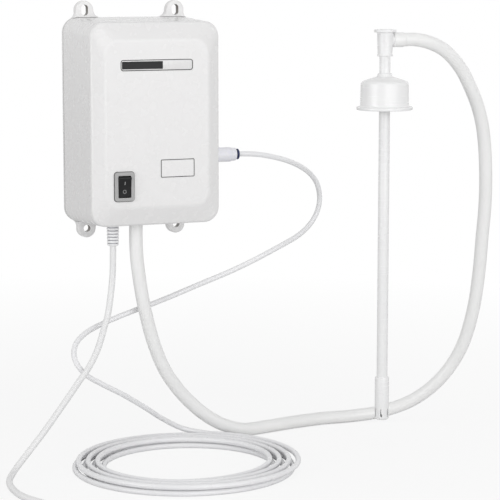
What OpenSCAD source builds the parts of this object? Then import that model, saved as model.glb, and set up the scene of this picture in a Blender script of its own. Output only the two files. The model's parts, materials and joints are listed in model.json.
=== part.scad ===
// Wall-mounted pump for bottled water, with its suction wand, hose, discharge tube and mains lead.
// Millimetres. The origin is the middle of the four wall holes, on the wall. The front faces -Y and +Z is up.

/* [Case] */
// Width of the case at its back rim
rim_w = 166; // [160:1:180]
// Height of the case at its back rim
rim_h = 243; // [240:1:256]
// Width across the front edges
edge_w = 158; // [152:1:160]
// Height across the front edges
edge_h = 236; // [230:1:240]
// Depth from the wall to the front panel
case_d = 104; // [100:1:116]
// Corner radius of the case seen from the front
corner_r = 18; // [14:1:24]
// Wall thickness of the moulded cover
wall = 2.8; // [2:0.2:3.6]
// Rounding where the side walls turn into the front
edge_r = 4.5; // [2:0.5:7]
// Rise of the front panel over the rounded edges
panel_rise = 6; // [3:0.5:8]
// Width of the sloping border at the sides of the panel
border_w = 15; // [10:1:20]
// Width of the sloping border above and below the panel
border_h = 21; // [14:1:24]
// Thickness of the back plate
plate_t = 5; // [4:0.5:6]
// Height of the locating lip on the back plate
lip_h = 5; // [3:0.5:7]
// Thickness of the locating lip
lip_t = 2; // [1.5:0.1:2.5]
// Thickness of the foam gasket under the cover
gasket_t = 1; // [0.6:0.1:1.6]
// Distance of the cover screws from the rim
screw_in = 15; // [13:1:18]
// Radius of the cover screws' bosses
boss_r = 4.5; // [4:0.1:5.5]
// Radius of the cover screws' shanks
screw_r = 1.5; // [1.25:0.05:2]
// Length of the cover screws under the head
screw_l = 18; // [14:1:24]

/* [Ears] */
// Distance between the left and right wall holes
ear_pitch = 114; // [108:1:120]
// Height of the wall holes over the rim
ear_rise = 8.5; // [8:0.5:12]
// Radius of the ears' round ends
ear_r = 11; // [9:0.5:13]
// Width of the ears at the rim
ear_base = 40; // [30:1:44]
// Thickness of the ears
ear_t = 9; // [6:0.5:12]
// Radius of the round lower wall holes
hole_r = 4.2; // [3:0.1:5]
// Length of the upright slots in the upper ears
slot_l = 13; // [10:0.5:15]

/* [Switch] */
// Place of the switch across the front panel
switch_x = -42; // [-46:1:-40]
// Place of the switch up the front panel
switch_z = -71; // [-76:1:-64]
// Width of the switch's frame
frame_w = 24; // [22:0.5:28]
// Height of the switch's frame
frame_h = 34; // [32:0.5:38]
// Thickness of the switch's frame in front of the panel
frame_t = 2.6; // [1.6:0.1:3.6]
// Depth of the switch's housing behind the panel
housing_d = 16; // [14:0.5:19]
// Wall thickness of the switch's housing
housing_wall = 1.3; // [1.1:0.1:1.6]
// Width of the rocker
rocker_w = 15.4; // [14:0.2:16]
// Swing radius of the rocker's ends
rocker_r = 12.6; // [11.6:0.1:13]
// Rocker's tilt to each side of its middle
rocker_tilt = 10; // [6:1:12]
// Height of the rocker's middle over its pins
rocker_rise = 3.4; // [2.6:0.1:4]
// Depth of the rocker's pins behind the front panel
pin_back = 2; // [1.5:0.1:3]
// Radius of the rocker's pins
pin_r = 1.6; // [1.2:0.1:2]

/* [Ports] */
// Depth of the line of ports, from the wall
port_d = 58; // [56:1:62]
// Place of the suction hose across the case
hose_x = -12; // [-14:1:-8]
// Place of the strain relief across the case
gland_x = -41; // [-44:1:-36]
// Height of the outlet fitting
out_z = -42.5; // [-46:0.5:-38]
// Rise of the moulded pads round the ports
pad_rise = 3.4; // [2.5:0.1:5]
// Radius of the pad round the outlet fitting
out_pad_r = 13; // [12:0.5:15]
// Radius of the pads under the case
low_pad_r = 11.5; // [10:0.5:13]

/* [Outlet fitting] */
// Radius of the fitting's body
fit_r = 8.75; // [8:0.25:10]
// Length of the fitting's body from its pad
fit_l = 31; // [30:0.5:34]
// Radius of the fitting's flange
fit_flange_r = 10.5; // [9.5:0.25:12]
// Thickness of the fitting's flange
fit_flange_t = 3; // [2:0.25:4]
// Radius of the fitting's thread
thread_r = 6; // [5.6:0.1:6.4]
// Length of thread that stands inside the pad
thread_l = 8; // [6:0.5:9]
// Depth of the tube's socket
socket_d = 16.5; // [15:0.5:18]
// Radius of the collet's sleeve
collet_r = 4.7; // [4.5:0.05:5]
// Radius of the collet's head
collet_head_r = 6.4; // [6:0.1:7.5]
// Thickness of the collet's head
collet_head_t = 2; // [1.5:0.1:3]
// Travel of the collet
collet_travel = 1.5; // [1:0.1:2]

/* [Strain relief] */
// Radius of the strain relief's ribs next to the case
gland_r = 7.4; // [6.8:0.1:8]
// Radius of the strain relief's tip
gland_tip_r = 6.8; // [6.2:0.1:7.4]
// Length of the ribbed part under the case
gland_l = 25; // [20:1:30]
// Number of ribs
gland_ribs = 6; // [4:1:8]
// Depth of the grooves between the ribs
gland_groove = 1.4; // [0.8:0.1:1.8]

/* [Pump] */
// Height of the pump head over the case's lower rim
pump_lift = 29.5; // [28:0.5:34]
// Radius of the pump's housings
pump_r = 32; // [31:0.5:33]
// Distance of the inlet port from the pump's axis
inlet_off = 18; // [17:0.5:20]
// Height of the pump head
head_h = 18; // [17:0.5:20]
// Thickness of the valve plate
valve_t = 5; // [4:0.5:6]
// Thickness of the diaphragm's rim
rubber_t = 2; // [1.5:0.1:2.5]
// Height of the cam housing
cam_h = 26; // [25:0.5:30]
// Radius of the cam housing's chamber
chamber_r = 25.5; // [24.8:0.1:26]
// Distance of the three chambers from the axis
cell_off = 15; // [14:0.5:16]
// Radius of the pistons over the three chambers
cell_r = 7; // [6:0.5:7.5]
// Tilt of the wobble plate
wobble_tilt = 4; // [2:0.5:5]
// Radius of the cam's pin
cam_pin_r = 4; // [3.5:0.25:5]
// Radius of the pump's long screws
pump_screw_r = 1.6; // [1.4:0.1:2]
// Radius of the inlet barb
inlet_barb_r = 6; // [5.5:0.1:6.2]
// Length of the inlet barb
inlet_barb_l = 14; // [12:0.5:15]
// Radius of the outlet barb
outlet_barb_r = 4.2; // [4:0.1:5]
// Length of the outlet barb
outlet_barb_l = 10; // [9:0.5:12]
// Bend radius of the inner outlet hose
bend_r = 17; // [16:0.5:18]
// Wall thickness of the inner outlet hose
inner_hose_t = 1.8; // [1.4:0.1:2.2]

/* [Pressure switch] */
// Radius of the pressure switch's body
press_r = 10; // [9.5:0.5:12]
// Length of the pressure switch's body
press_l = 24; // [22:1:26]
// Travel of the plunger
plunger_travel = 1; // [0.5:0.1:1.2]
// Radius of the plunger's stem
plunger_r = 3; // [2.5:0.1:3.5]
// Turns of the plunger's spring
spring_turns = 5; // [4:1:6]
// Wire diameter of the plunger's spring
spring_wire = 1; // [0.8:0.1:1.2]

/* [Motor] */
// Radius of the motor's can
can_r = 26; // [25:0.5:28]
// Length of the motor's can
can_l = 81; // [78:1:86]
// Wall thickness of the motor's can
can_t = 1.5; // [1.2:0.1:2]
// Thickness of the can's front plate
can_face_t = 3; // [2.5:0.25:4]
// Height of the motor's end cap
endcap_h = 12; // [11:0.5:14]
// Radius of the motor's shaft
shaft_r = 2.5; // [2:0.25:3]
// Radius of the shaft's bearings
bearing_r = 6; // [5.5:0.25:7]
// Height of the shaft's bearings
bearing_h = 5; // [4:0.5:6]
// Radius of the rotor
rotor_r = 16; // [14:0.5:17]
// Length of the rotor
rotor_l = 44; // [36:1:46]
// Number of rotor poles
rotor_poles = 5; // [3:2:7]
// Thickness of the magnets
magnet_t = 7; // [5:0.5:7.5]
// Radius of the commutator
commutator_r = 7; // [6:0.5:8]

/* [Bracket] */
// Width of the pump's bracket
bracket_w = 80; // [78:1:88]
// Height of the pump's bracket
bracket_h = 78; // [74:1:84]
// Thickness of the bracket's plate
bracket_t = 2.5; // [2:0.25:3]
// Height of the rubber feet
foot_h = 7; // [5:0.5:8]
// Radius of the rubber feet
foot_r = 6; // [5:0.5:7]
// Height of the bosses on the back plate
stud_h = 4; // [3:0.5:5]
// Width of the motor's straps
strap_w = 10; // [8:1:12]
// Thickness of the motor's straps
strap_t = 1.5; // [1:0.1:1.8]

/* [Power supply] */
// Distance of the transformer's middle from the left rim
trafo_x = 45; // [43:1:47]
// Distance of the transformer's middle below the top rim
trafo_z = 37.5; // [35.5:0.5:39.5]
// Width of the transformer's core
core_w = 48; // [44:1:50]
// Height of the transformer's core
core_h = 40; // [36:1:42]
// Stack of the transformer's core
core_d = 20; // [16:1:24]
// Width of the transformer's coil
winding_w = 30; // [26:1:32]
// Height of the transformer's coil
winding_h = 24; // [20:1:28]
// Depth of the transformer's coil
winding_d = 34; // [30:1:38]
// Place of the circuit board across the case
board_x = 27; // [25:1:28]
// Distance of the circuit board's middle below the top rim
board_z = 34.5; // [32.5:0.5:36.5]
// Width of the circuit board
board_w = 54; // [50:1:56]
// Height of the circuit board's outline
board_h = 46; // [43:1:49]
// Thickness of the circuit board
board_t = 1.6; // [1.2:0.2:2]
// Height of the circuit board's posts
post_h = 8; // [6:0.5:10]

/* [Wand] */
// Place of the wand to the right of the case's middle
wand_x = 264; // [260:1:270]
// Distance of the wand from the wall
wand_d = 160; // [156:1:166]
// Height of the wand's hose port
port_z = 95.5; // [94:0.5:98]
// Radius of the tee's body
tee_r = 9.5; // [9:0.25:11]
// Height of the tee's body under its plug
tee_h = 28; // [26:1:32]
// Radius of the plug on the tee
plug_r = 13.2; // [12:0.2:15]
// Thickness of the plug's head
plug_t = 3.5; // [2.5:0.25:5]
// Length of the tee's barb
tee_barb_l = 14; // [12:1:18]
// Outer radius of the dip tube
dip_r = 6.5; // [6:0.25:7]
// Wall thickness of the dip tube
dip_t = 1.5; // [1:0.1:2]
// Depth of the dip tube in the tee
dip_in = 8; // [6:0.5:10]
// Height of the wand's foot, the tip of the strainer
foot_tip_z = -360; // [-370:1:-340]
// Outer radius of the foot valve
sleeve_r = 8.5; // [8.5:0.25:10]
// Length of the foot valve's sleeve
sleeve_l = 36; // [32:1:44]
// Length of the slotted strainer
strainer_l = 16; // [14:1:20]
// Number of slots round the strainer
strainer_slots = 6; // [4:1:8]
// Width of the strainer's slots
strainer_slot = 2.4; // [1.5:0.1:3]
// Travel of the foot valve's poppet
poppet_travel = 3; // [2:0.5:4]

/* [Cap] */
// Height of the cap's lower edge at rest
cap_z = 13.5; // [8:0.5:18]
// Outer radius of the cap's skirt
cap_r = 28.8; // [28:0.1:30]
// Inner radius of the cap's skirt, over a 54 mm neck
neck_r = 27.3; // [26.8:0.1:27.6]
// Height of the cap's skirt
cap_h = 33; // [30:1:38]
// Radius of the cap's lower flange
cap_flange_r = 33.2; // [31:0.2:36]
// Thickness of the cap's lower flange
cap_flange_t = 4; // [2.5:0.25:6]
// Rise of the cap's cone
cone_h = 6; // [4:0.5:8]
// Radius of the cap's collar round the dip tube
collar_r = 9.2; // [8.8:0.2:11]
// Height of the cap's collar over its cone
collar_h = 4; // [2:0.5:5]
// Thickness of the cap's top
cap_top_t = 2; // [1.5:0.1:3]
// Thickness of the cap's seal
seal_t = 2.5; // [1.5:0.25:4]

/* [Hoses and leads] */
// Outer diameter of the suction hose
hose_od = 16; // [14.5:0.5:17]
// Outer diameter of the discharge tube
tube_od = 6.35; // [6:0.05:6.4]
// Outer diameter of the mains lead
lead_od = 7.5; // [6.5:0.1:8]
// Turns of the discharge tube's coil on the way in, and again on the way out
tube_turns = 3.25; // [1.75:0.5:3.75]
// Outer radius of the discharge tube's coil, to the tube's middle
tube_coil_r = 132; // [120:1:135]
// Step from turn to turn of the discharge tube's coil
tube_step = 11; // [8:0.5:14]
// Turns of the mains lead's coil on the way in, and again on the way out
lead_turns = 1.75; // [1.25:0.5:2.25]
// Outer radius of the mains lead's coil, to the lead's middle
lead_coil_r = 52; // [46:1:54]
// Clear space between the turns and layers of a coil
coil_gap = 1; // [0.9:0.1:1.5]
// Length of the plug's body
plug_l = 34; // [30:1:40]
// Width of the plug's body
plug_w = 26; // [22:1:30]
// Length of the plug's blades
blade_l = 17; // [15:1:19]

/* [Fits] */
// Radial clearance of a turning or sliding fit
fit = 0.05; // [0.02:0.01:0.1]
// Clear space between pieces that only pass each other
gap = 0.3; // [0.2:0.05:0.5]

/* [Hidden] */
$fn = 48;
slice_t = 0.01;
hull_fn = 32;
past = 1;
floor_z = -395;

// Case: depths from the wall, and the drafted outline between the rim and the front edges
rim_d = plate_t + gasket_t;
ridge_d = case_d - panel_rise - edge_r;
function draft(d) = (d - rim_d) / (ridge_d - rim_d);
function case_w(d) = rim_w - (rim_w - edge_w) * draft(d);
function case_h(d) = rim_h - (rim_h - edge_h) * draft(d);
hole_z = rim_h / 2 + ear_rise;
ear_x = ear_pitch / 2;
screw_x = rim_w / 2 - screw_in;
screw_z = rim_h / 2 - screw_in;
screw_head_r = screw_r * 2;
screw_head_h = screw_r * 1.5;
recess_h = screw_head_h + gap;
lip_in = wall + 3 * gap;
lip_out_w = case_w(plate_t + lip_h) - 2 * lip_in;
lip_out_h = case_h(plate_t + lip_h) - 2 * lip_in;

// Ears: hollow fillets from the round end to the straight rim, and from the round end to the case's corner
ear_half = ear_base / 2;
ear_fillet = (ear_half * ear_half - ear_r * ear_r + ear_rise * ear_rise) / (2 * (ear_r + ear_rise));
ear_corner = [rim_w / 2 - corner_r - ear_x, -corner_r - ear_rise];
ear_away = norm(ear_corner);
ear_along = ((ear_r - corner_r) * (ear_r + corner_r + 2 * ear_fillet) / ear_away + ear_away) / 2;
ear_aside = sqrt(pow(ear_r + ear_fillet, 2) - ear_along * ear_along);

// Switch
pin_d = case_d - pin_back;
housing_w = rocker_w + 2 * gap + 2 * housing_wall;
housing_h = 2 * (rocker_r + gap) + 2 * housing_wall;
pin_l = rocker_w + 2 * gap + 1.6 * housing_wall;
frame_r = 3.5;
rocker_back = 3;
tab_w = 4.8;
tab_t = 0.8;
tab_l = 8;
tab_pitch = 8;
tab_d = case_d - housing_d - tab_l / 2;

// Ports: flat faces of the pads on the drafted walls
pad_in = wall + 3;
pad_low = 0.75 + gland_r * abs(rim_h - edge_h) / (2 * case_d);
out_x = case_w(port_d) / 2 + pad_rise;
out_in_x = case_w(port_d) / 2 - pad_in;
low_z = -case_h(port_d) / 2 - pad_low;
low_in_z = -case_h(port_d) / 2 + pad_in;
hose_r = hose_od / 2;
tube_r = tube_od / 2;
lead_r = lead_od / 2;
collet_l = 9;
seal_up = 3;
seal_w = 2;
tube_start = 9;
gland_groove_w = 1.1;
gland_head = 2.5;
barb_t = 2;

// Pump: heights from the head up, and the nutation centre on the diaphragm's plane
pump_x = hose_x + inlet_off;
head_z = -rim_h / 2 + pump_lift;
valve_z = head_z + head_h;
rubber_z = valve_z + valve_t;
cam_z = rubber_z + rubber_t;
can_z = cam_z + cam_h;
endcap_z = can_z + can_l;
pump_screw_off = (pump_r + chamber_r) / 2;
nutation_z = cam_z + 1;
piston_low = 2.5;
piston_t = 3;
hub_h = 10;
cam_disc_h = 7;
bearing_ring_t = 3;
hub_t = 2;
cam_rim = 5;
cam_wall = 2;
bearing_wall = 3;
head_floor = 3;
gallery_w = 4;
disc_t = 1;
disc_r = cell_r - 2;
out_disc_t = 1.2;
out_disc_r = cell_r - 1;
in_hole_r = 1.8;
out_hole_r = 1;
out_hole_off = 3;
outlet_port_z = head_z + head_h / 2;
elbow_x = pump_x + pump_r + outlet_barb_l + bend_r;
elbow_r = thread_r + 3;
bend_z = outlet_port_z + bend_r;
inner_hose_r = outlet_barb_r + inner_hose_t;
water_r = outlet_barb_r - barb_t;
tail_z = head_z - inlet_barb_l - past;
clamp_t = 1.2;
clamp_h = 6;
clamp_lug = 5;

// Pressure switch
press_wall = 3;
plunger_disc_t = 2.5;
plunger_out = 1.5;
spring_space = 0.5;
micro_t = 8;

// Motor and bracket
stud_r = foot_r;
bracket_d = plate_t + stud_h + foot_h;
bracket_z = can_z + can_l / 2;
bracket_face_d = bracket_d + bracket_t;
foot_x = bracket_w / 2 - foot_r - past;
foot_z = bracket_h / 2 - foot_r - past;
strap_z = can_l / 4;
saddle_w = 1.4 * can_r;
mount_screw_r = 2;
screw_cap_h = 2.5;
rotor_up = 17;
rotor_z = can_z + can_face_t + rotor_up;
commutator_h = 9;
shaft_top = endcap_z + 8;
endcap_wall = 3;
endcap_rim = 4;
brush_w = 5;
brush_h = 4;
winding_over = 4;
commutator_z = rotor_z + rotor_l + winding_over;
winding_in = 2;
pole_gap = 2;
magnet_gap = 0.45;
bracket_corner = 6;
strap_foot = 8;

// Power supply
trafo_mid_x = -rim_w / 2 + trafo_x;
trafo_mid_z = rim_h / 2 - trafo_z;
board_mid_z = rim_h / 2 - board_z;
trafo_base_t = 2;
trafo_base_d = plate_t + stud_h;
core_back_d = trafo_base_d + trafo_base_t + (winding_d - core_d) / 2;
trafo_stud_x = core_w / 2 + stud_r + trafo_base_t;
board_d = plate_t + post_h;
board_face_d = board_d + board_t;
post_r = 3.5;
post_in = 4;
rectifier = [10, 14, 12];
rectifier_at = [-20, 12];
capacitor_r = 8;
capacitor_h = 24;
capacitor_at = [14, 8];
block = [26, 9, 10];
block_at = [-9, -16];
fuse = [18, 8, 9];
fuse_at = [16, -16];

// Wires
wire_od = 2.2;
wire_end = 6;
wire_in = 25;
wire_rise = 16;
motor_tab = [12, 8];

// Wand
wand_y = -wand_d;
cuff_swell = 0.6;
tee_top = port_z + hose_r + cuff_swell + gap;
tee_z = tee_top - tee_h;
dip_top = tee_z + dip_in;
strainer_z = foot_tip_z + strainer_l;
sleeve_z = strainer_z;
seat_h = 9;
seat_z = sleeve_z + seat_h;
seat_w = 1.2;
poppet_r = dip_r - dip_t + 0.4;
poppet_t = 2;
poppet_side = 1;
poppet_stem = 6;
poppet_way_r = poppet_r - seat_w;
tip_r = 3;
tip_floor = 2;
slot_floor = 4;
slot_h = strainer_l - slot_floor - poppet_t;
cap_soft = 0.5;
dip_low = seat_z + gap + poppet_t + poppet_travel + gap;
cap_top_z = cap_z + cap_h;
barb_x = wand_x + tee_r;
barb_end_x = barb_x + tee_barb_l;
hose_bore_r = inlet_barb_r;

// Vector helpers
function unit(v) = v / norm(v);
function mix(a, b, t) = a + (b - a) * t;

// Catmull-Rom curve through the points p, with n steps to each stretch between two straight end stretches
function curve_point(a, b, c, d, t) =
    0.5 * (2 * b + (c - a) * t + (2 * a - 5 * b + 4 * c - d) * t * t + (3 * b - a - 3 * c + d) * t * t * t);
function curve(p, n) = let (last = len(p) - 1) concat(
    [p[0]],
    [for (i = [1 : last - 2], k = [0 : n - 1]) curve_point(p[i - 1], p[i], p[i + 1], p[i + 2], k / n)],
    [p[last - 1], p[last]]);

// Tube of radius r swept along the points p, with the given number of sides
function tangent(p, i) = unit(p[min(i + 1, len(p) - 1)] - p[max(i - 1, 0)]);
function side_of(t) = unit(cross(t, abs(t[2]) < 0.9 ? [0, 0, 1] : [1, 0, 0]));
function square_to(v, t) = unit(v - (v * t) * t);
module tube(p, r, sides) {
    last = len(p) - 1;
    normals = [for (i = 0, v = side_of(tangent(p, 0)); i <= last;
        i = i + 1, v = square_to(v, tangent(p, min(i, last)))) v];
    points = [for (i = [0 : last], k = [0 : sides - 1])
        let (t = tangent(p, i), a = 360 * k / sides)
        p[i] + r * (cos(a) * normals[i] + sin(a) * cross(t, normals[i]))];
    walls = [for (i = [0 : last - 1], k = [0 : sides - 1])
        let (a = i * sides + k, b = i * sides + (k + 1) % sides)
        each [[a, a + sides, b + sides], [a, b + sides, b]]];
    start_cap = [for (k = [1 : sides - 2]) [0, k, k + 1]];
    end_cap = [for (k = [1 : sides - 2]) [last * sides, last * sides + k + 1, last * sides + k]];
    polyhedron(points, concat(walls, start_cap, end_cap));
}

// Coil of two layers that spirals in, changes layer in half a turn and spirals out again, with straight ends.
// way is 1 for turns that run anticlockwise seen from above and -1 for the other way. rise is the step from the
// first layer to the second, and tail is the length of the straight far end.
function coil_angle(s) = 360 * s;
function coil_radius(s, turns, r, step) = let (half = turns + 0.25) r - step * (half - abs(s - half));
function coil_layer(s, turns) = s < turns ? 0 : s < turns + 0.5 ? (1 - cos(360 * (s - turns))) / 2 : 1;
function coil_point(c, s, turns, r, step, start, way, rise) =
    let (a = start + way * coil_angle(s), q = coil_radius(s, turns, r, step))
    c + [q * cos(a), q * sin(a), rise * coil_layer(s, turns)];
function coil_heading(a, way) = way * [-sin(a), cos(a), 0];
function coil(c, turns, r, step, start, way, rise, od, tail) =
    let (total = 2 * turns + 0.5, n = round(24 * total),
        first = coil_point(c, 0, turns, r, step, start, way, rise),
        final = coil_point(c, total, turns, r, step, start, way, rise))
    concat([first - od * coil_heading(start, way)],
        [for (i = [0 : n]) coil_point(c, total * i / n, turns, r, step, start, way, rise)],
        [final + tail * coil_heading(start + way * coil_angle(total), way)]);

// Least clear space of a coil to its own other turns, from points to stretches
function stretch_distance(q, a, b) =
    let (t = max(0, min(1, ((q - a) * (b - a)) / ((b - a) * (b - a))))) norm(q - mix(a, b, t));
function least_gap(p, od) = min([for (i = [0 : len(p) - 1], j = [0 : len(p) - 2])
    if (abs(i - j) > 8) stretch_distance(p[i], p[j], p[j + 1])]) - od;

// Discharge tube: from the fitting through the air in two bends, and down to its coil on the floor
tube_rise = tube_od + coil_gap;
tube_coil_c = [10, -165, floor_z + tube_r + tube_rise];
tube_coil_start = 50;
tube_coil_points = coil(tube_coil_c, tube_turns, tube_coil_r, tube_step, tube_coil_start, -1, -tube_rise,
    tube_od, tube_od);
tube_route = concat(
    [[out_x + fit_l - socket_d + gap, -port_d, out_z], [out_x + fit_l + tube_start, -port_d, out_z]],
    [[145, -57, -44], [166, -54, -48], [188, -47, -54], [208, -38, -62], [226, -28, -72], [240, -20, -86],
     [246, -16, -104], [243, -16, -122], [232, -18, -138], [214, -24, -150], [192, -30, -159],
     [172, -33, -167], [150, -35, -176], [115, -37, -189], [74, -39, -202], [41, -40, -213], [12, -41, -222],
     [-10, -42, -228], [-47, -45.5, -239], [-73, -48, -250], [-89, -57.5, -262], [-93, -69, -277],
     [-84.5, -80.5, -292.5], [-65.5, -85.5, -305], [-36, -79, -322], [-4, -64.5, -343], [22.5, -48, -361.5],
     [52.5, -41, -378.5]],
    [tube_coil_points[0] - 2 * tube_od * coil_heading(tube_coil_start, -1), tube_coil_points[0]]);

// Suction hose: down from the case, along the floor, up and over to the wand
hose_route = concat(
    [[hose_x, -port_d, tail_z], [hose_x, -port_d, -150]],
    [[-9, -58, -182], [-2, -57, -222], [10, -55, -266], [24, -53, -299], [40, -51, -323], [58, -50, -343.5],
     [79, -49, -362], [104, -48, -377], [132, -45, -385.5], [164, -38, -386.5], [202, -29, -386.5],
     [246, -23, -386.5], [290, -24, -386.5], [328, -32, -382], [364, -48, -367], [392, -68, -338],
     [411, -86, -298], [420, -99, -250], [423, -108, -200], [423, -115, -153], [423, -121, -112],
     [420, -127, -70], [413, -133, -24], [402, -139, 9], [386, -145, 38], [369.5, -150, 61],
     [347.5, -155.5, 80.5], [325, -159, 91]],
    [[barb_end_x + 16, wand_y, port_z], [barb_end_x + past, wand_y, port_z]]);

// Mains lead: down from the strain relief, along the floor, to the coil that puts the rest away
lead_rise = lead_od + coil_gap;
lead_tail = 26;
tie_t = 0.8;
tie_w = 8;
lead_step = lead_od + coil_gap;
lead_coil_c = [-119, -404, floor_z + tie_t + 2 * gap + lead_r];
lead_coil_start = 180;
lead_coil_points = coil(lead_coil_c, lead_turns, lead_coil_r, lead_step, lead_coil_start, 1, lead_rise,
    lead_od, lead_tail);
lead_route = concat(
    [[gland_x, -port_d, low_in_z + 6], [gland_x, -port_d, low_z - gland_l - 8]],
    [[-43, -60, -186], [-50, -66, -222], [-57, -71, -240], [-68, -79, -264], [-82, -88, -283], [-96, -95, -297],
     [-116, -105, -317], [-146, -117, -348], [-171, -126, -372], [-189, -139, -386], [-201, -163, -390.5],
     [-206, -198, -391], [-204, -230, -391], [-194, -258, -391], [-182, -288, -391], [-174, -322, -390.5],
     [-171.5, -350, -390]],
    [lead_coil_points[0] - 2 * lead_od * coil_heading(lead_coil_start, 1), lead_coil_points[0]]);
lead_end = lead_coil_points[len(lead_coil_points) - 1];
lead_end_way = coil_heading(lead_coil_start + coil_angle(2 * lead_turns + 0.5), 1);
plug_h = 2 * (lead_end[2] - floor_z) - past;
blade_pitch = 12.7;
blade_w = 6.3;
blade_t = 1.5;
earth_r = 2.4;
earth_over = 3;
neck_l = 12;
neck_in = 1;
neck_out = 4;
grip_r = 6;

echo(tube_coil_gap = least_gap(tube_coil_points, tube_od));
echo(lead_coil_gap = least_gap(lead_coil_points, lead_od));

// Turns a flat shape to face the room, with its back at depth d from the wall
module facing(d) {
    rotate([90, 0, 0]) translate([0, 0, d]) children();
}

// Stands children on the pump's vertical axis at height z
module on_pump(z) {
    translate([pump_x, -port_d, z]) children();
}

// Stands children on the wand's vertical axis
module on_wand() {
    translate([wand_x, wand_y, 0]) children();
}

// Children on the outlet fitting's axis, with their own Z pointing out of the case's right wall
module on_outlet() {
    translate([out_x, -port_d, out_z]) rotate([0, 90, 0]) children();
}

// The wobble plate's frame: tilted about the nutation centre
module on_wobble() {
    on_pump(nutation_z) rotate([0, wobble_tilt, 0]) children();
}

module rounded_rect(w, h, r) {
    square([w - 2 * r, h], center = true);
    square([w, h - 2 * r], center = true);
    for (sx = [-1, 1], sz = [-1, 1])
        translate([sx * (w / 2 - r), sz * (h / 2 - r)]) circle(r);
}

// Ring with an outer and an inner radius
module ring(outer, inner, h) {
    difference() {
        cylinder(h = h, r = outer);
        translate([0, 0, -past]) cylinder(h = h + 2 * past, r = inner);
    }
}

module at_corners(x, z) {
    for (sx = [-1, 1], sz = [-1, 1]) translate([sx * x, sz * z]) children();
}

// Ears, as seen from the front
module ears_outline() {
    way = unit(ear_corner);
    rim_fillet = [-ear_half, ear_fillet - ear_rise];
    corner_fillet = ear_along * way + ear_aside * [-way[1], way[0]];
    for (sx = [0, 1], up = [0, 1]) mirror([sx, 0]) mirror([0, up]) translate([ear_x, hole_z]) {
        circle(ear_r);
        difference() {
            polygon([[-ear_half, -ear_rise - past], [-ear_half, -ear_rise], ear_r * unit(rim_fillet),
                ear_r * unit(corner_fillet),
                ear_corner + corner_r * unit(corner_fillet - ear_corner), ear_corner]);
            for (c = [rim_fillet, corner_fillet]) translate(c) circle(ear_fillet);
        }
    }
}

module back_plate() {
    color("whitesmoke") difference() {
        union() {
            facing(0) linear_extrude(plate_t) rounded_rect(rim_w, rim_h, corner_r);
            difference() {
                facing(0) linear_extrude(ear_t) ears_outline();
                facing(plate_t) linear_extrude(ear_t)
                    rounded_rect(rim_w + 2 * gap, rim_h + 2 * gap, corner_r + gap);
            }
            locating_lip();
            facing(plate_t) translate([pump_x, bracket_z]) at_corners(foot_x, foot_z)
                cylinder(h = stud_h, r = stud_r);
            facing(plate_t) translate([trafo_mid_x, trafo_mid_z]) for (s = [-1, 1])
                translate([s * trafo_stud_x, 0]) cylinder(h = stud_h, r = stud_r);
            facing(plate_t) translate([board_x, board_mid_z])
                at_corners(board_w / 2 - post_in, board_h / 2 - post_in) cylinder(h = post_h, r = post_r);
        }
        for (sx = [-1, 1]) {
            facing(-past) translate([sx * ear_x, -hole_z]) cylinder(h = ear_t + 2 * past, r = hole_r);
            facing(-past) translate([sx * ear_x, hole_z]) linear_extrude(ear_t + 2 * past) upright_slot();
        }
        facing(-past) at_corners(screw_x, screw_z) {
            cylinder(h = plate_t + 2 * past, r = screw_r + gap);
            cylinder(h = recess_h + past, r = screw_head_r + gap);
        }
        facing(past) translate([pump_x, bracket_z]) at_corners(foot_x, foot_z)
            cylinder(h = plate_t + stud_h, r = mount_screw_r);
    }
}

// Lip that locates the cover, inside its walls
module locating_lip() {
    facing(plate_t) linear_extrude(lip_h) difference() {
        rounded_rect(lip_out_w, lip_out_h, corner_r - lip_in);
        rounded_rect(lip_out_w - 2 * lip_t, lip_out_h - 2 * lip_t, corner_r - lip_in - lip_t);
    }
}

module upright_slot() {
    for (s = [-1, 1]) translate([0, s * (slot_l / 2 - hole_r)]) circle(hole_r);
    square([2 * hole_r, slot_l - 2 * hole_r], center = true);
}

// Drafted case form with a rounded edge and a raised panel, inset all over by t
module case_form(t) {
    back = t > 0 ? past : 0;
    hull() {
        case_slice(rim_w, rim_h, t, rim_d - back);
        for (a = [0 : 20 : 60])
            case_slice(edge_w - 2 * edge_r * (1 - cos(a)), edge_h - 2 * edge_r * (1 - cos(a)), t,
                ridge_d + edge_r * sin(a) - t);
        case_slice(edge_w - 2 * border_w, edge_h - 2 * border_h, t, case_d - slice_t - t);
    }
}

module case_slice(w, h, t, d) {
    facing(d) linear_extrude(slice_t) rounded_rect(w - 2 * t, h - 2 * t, corner_r - t, $fn = hull_fn);
}

module front_cover() {
    color("white") difference() {
        union() {
            difference() {
                case_form(0);
                case_form(wall);
            }
            intersection() {
                case_form(wall / 2);
                facing(rim_d) at_corners(screw_x, screw_z) cylinder(h = case_d, r = boss_r);
            }
            translate([out_in_x, -port_d, out_z]) rotate([0, 90, 0])
                cylinder(h = out_x - out_in_x, r = out_pad_r);
            for (x = [gland_x, hose_x])
                translate([x, -port_d, low_z]) cylinder(h = low_in_z - low_z, r = low_pad_r);
        }
        facing(ridge_d - 2 * wall) translate([switch_x, switch_z])
            linear_extrude(case_d) square([housing_w + 2 * gap, housing_h + 2 * gap], center = true);
        translate([out_in_x - past, -port_d, out_z]) rotate([0, 90, 0])
            cylinder(h = out_x - out_in_x + 2 * past, r = thread_r + gap);
        translate([gland_x, -port_d, low_z - past])
            cylinder(h = low_in_z - low_z + 2 * past, r = gland_r - gland_groove + gap);
        translate([hose_x, -port_d, low_z - past])
            cylinder(h = low_in_z - low_z + 2 * past, r = hose_r + gap);
        facing(rim_d - past) at_corners(screw_x, screw_z) cylinder(h = screw_l + past, r = screw_r);
    }
}

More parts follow.
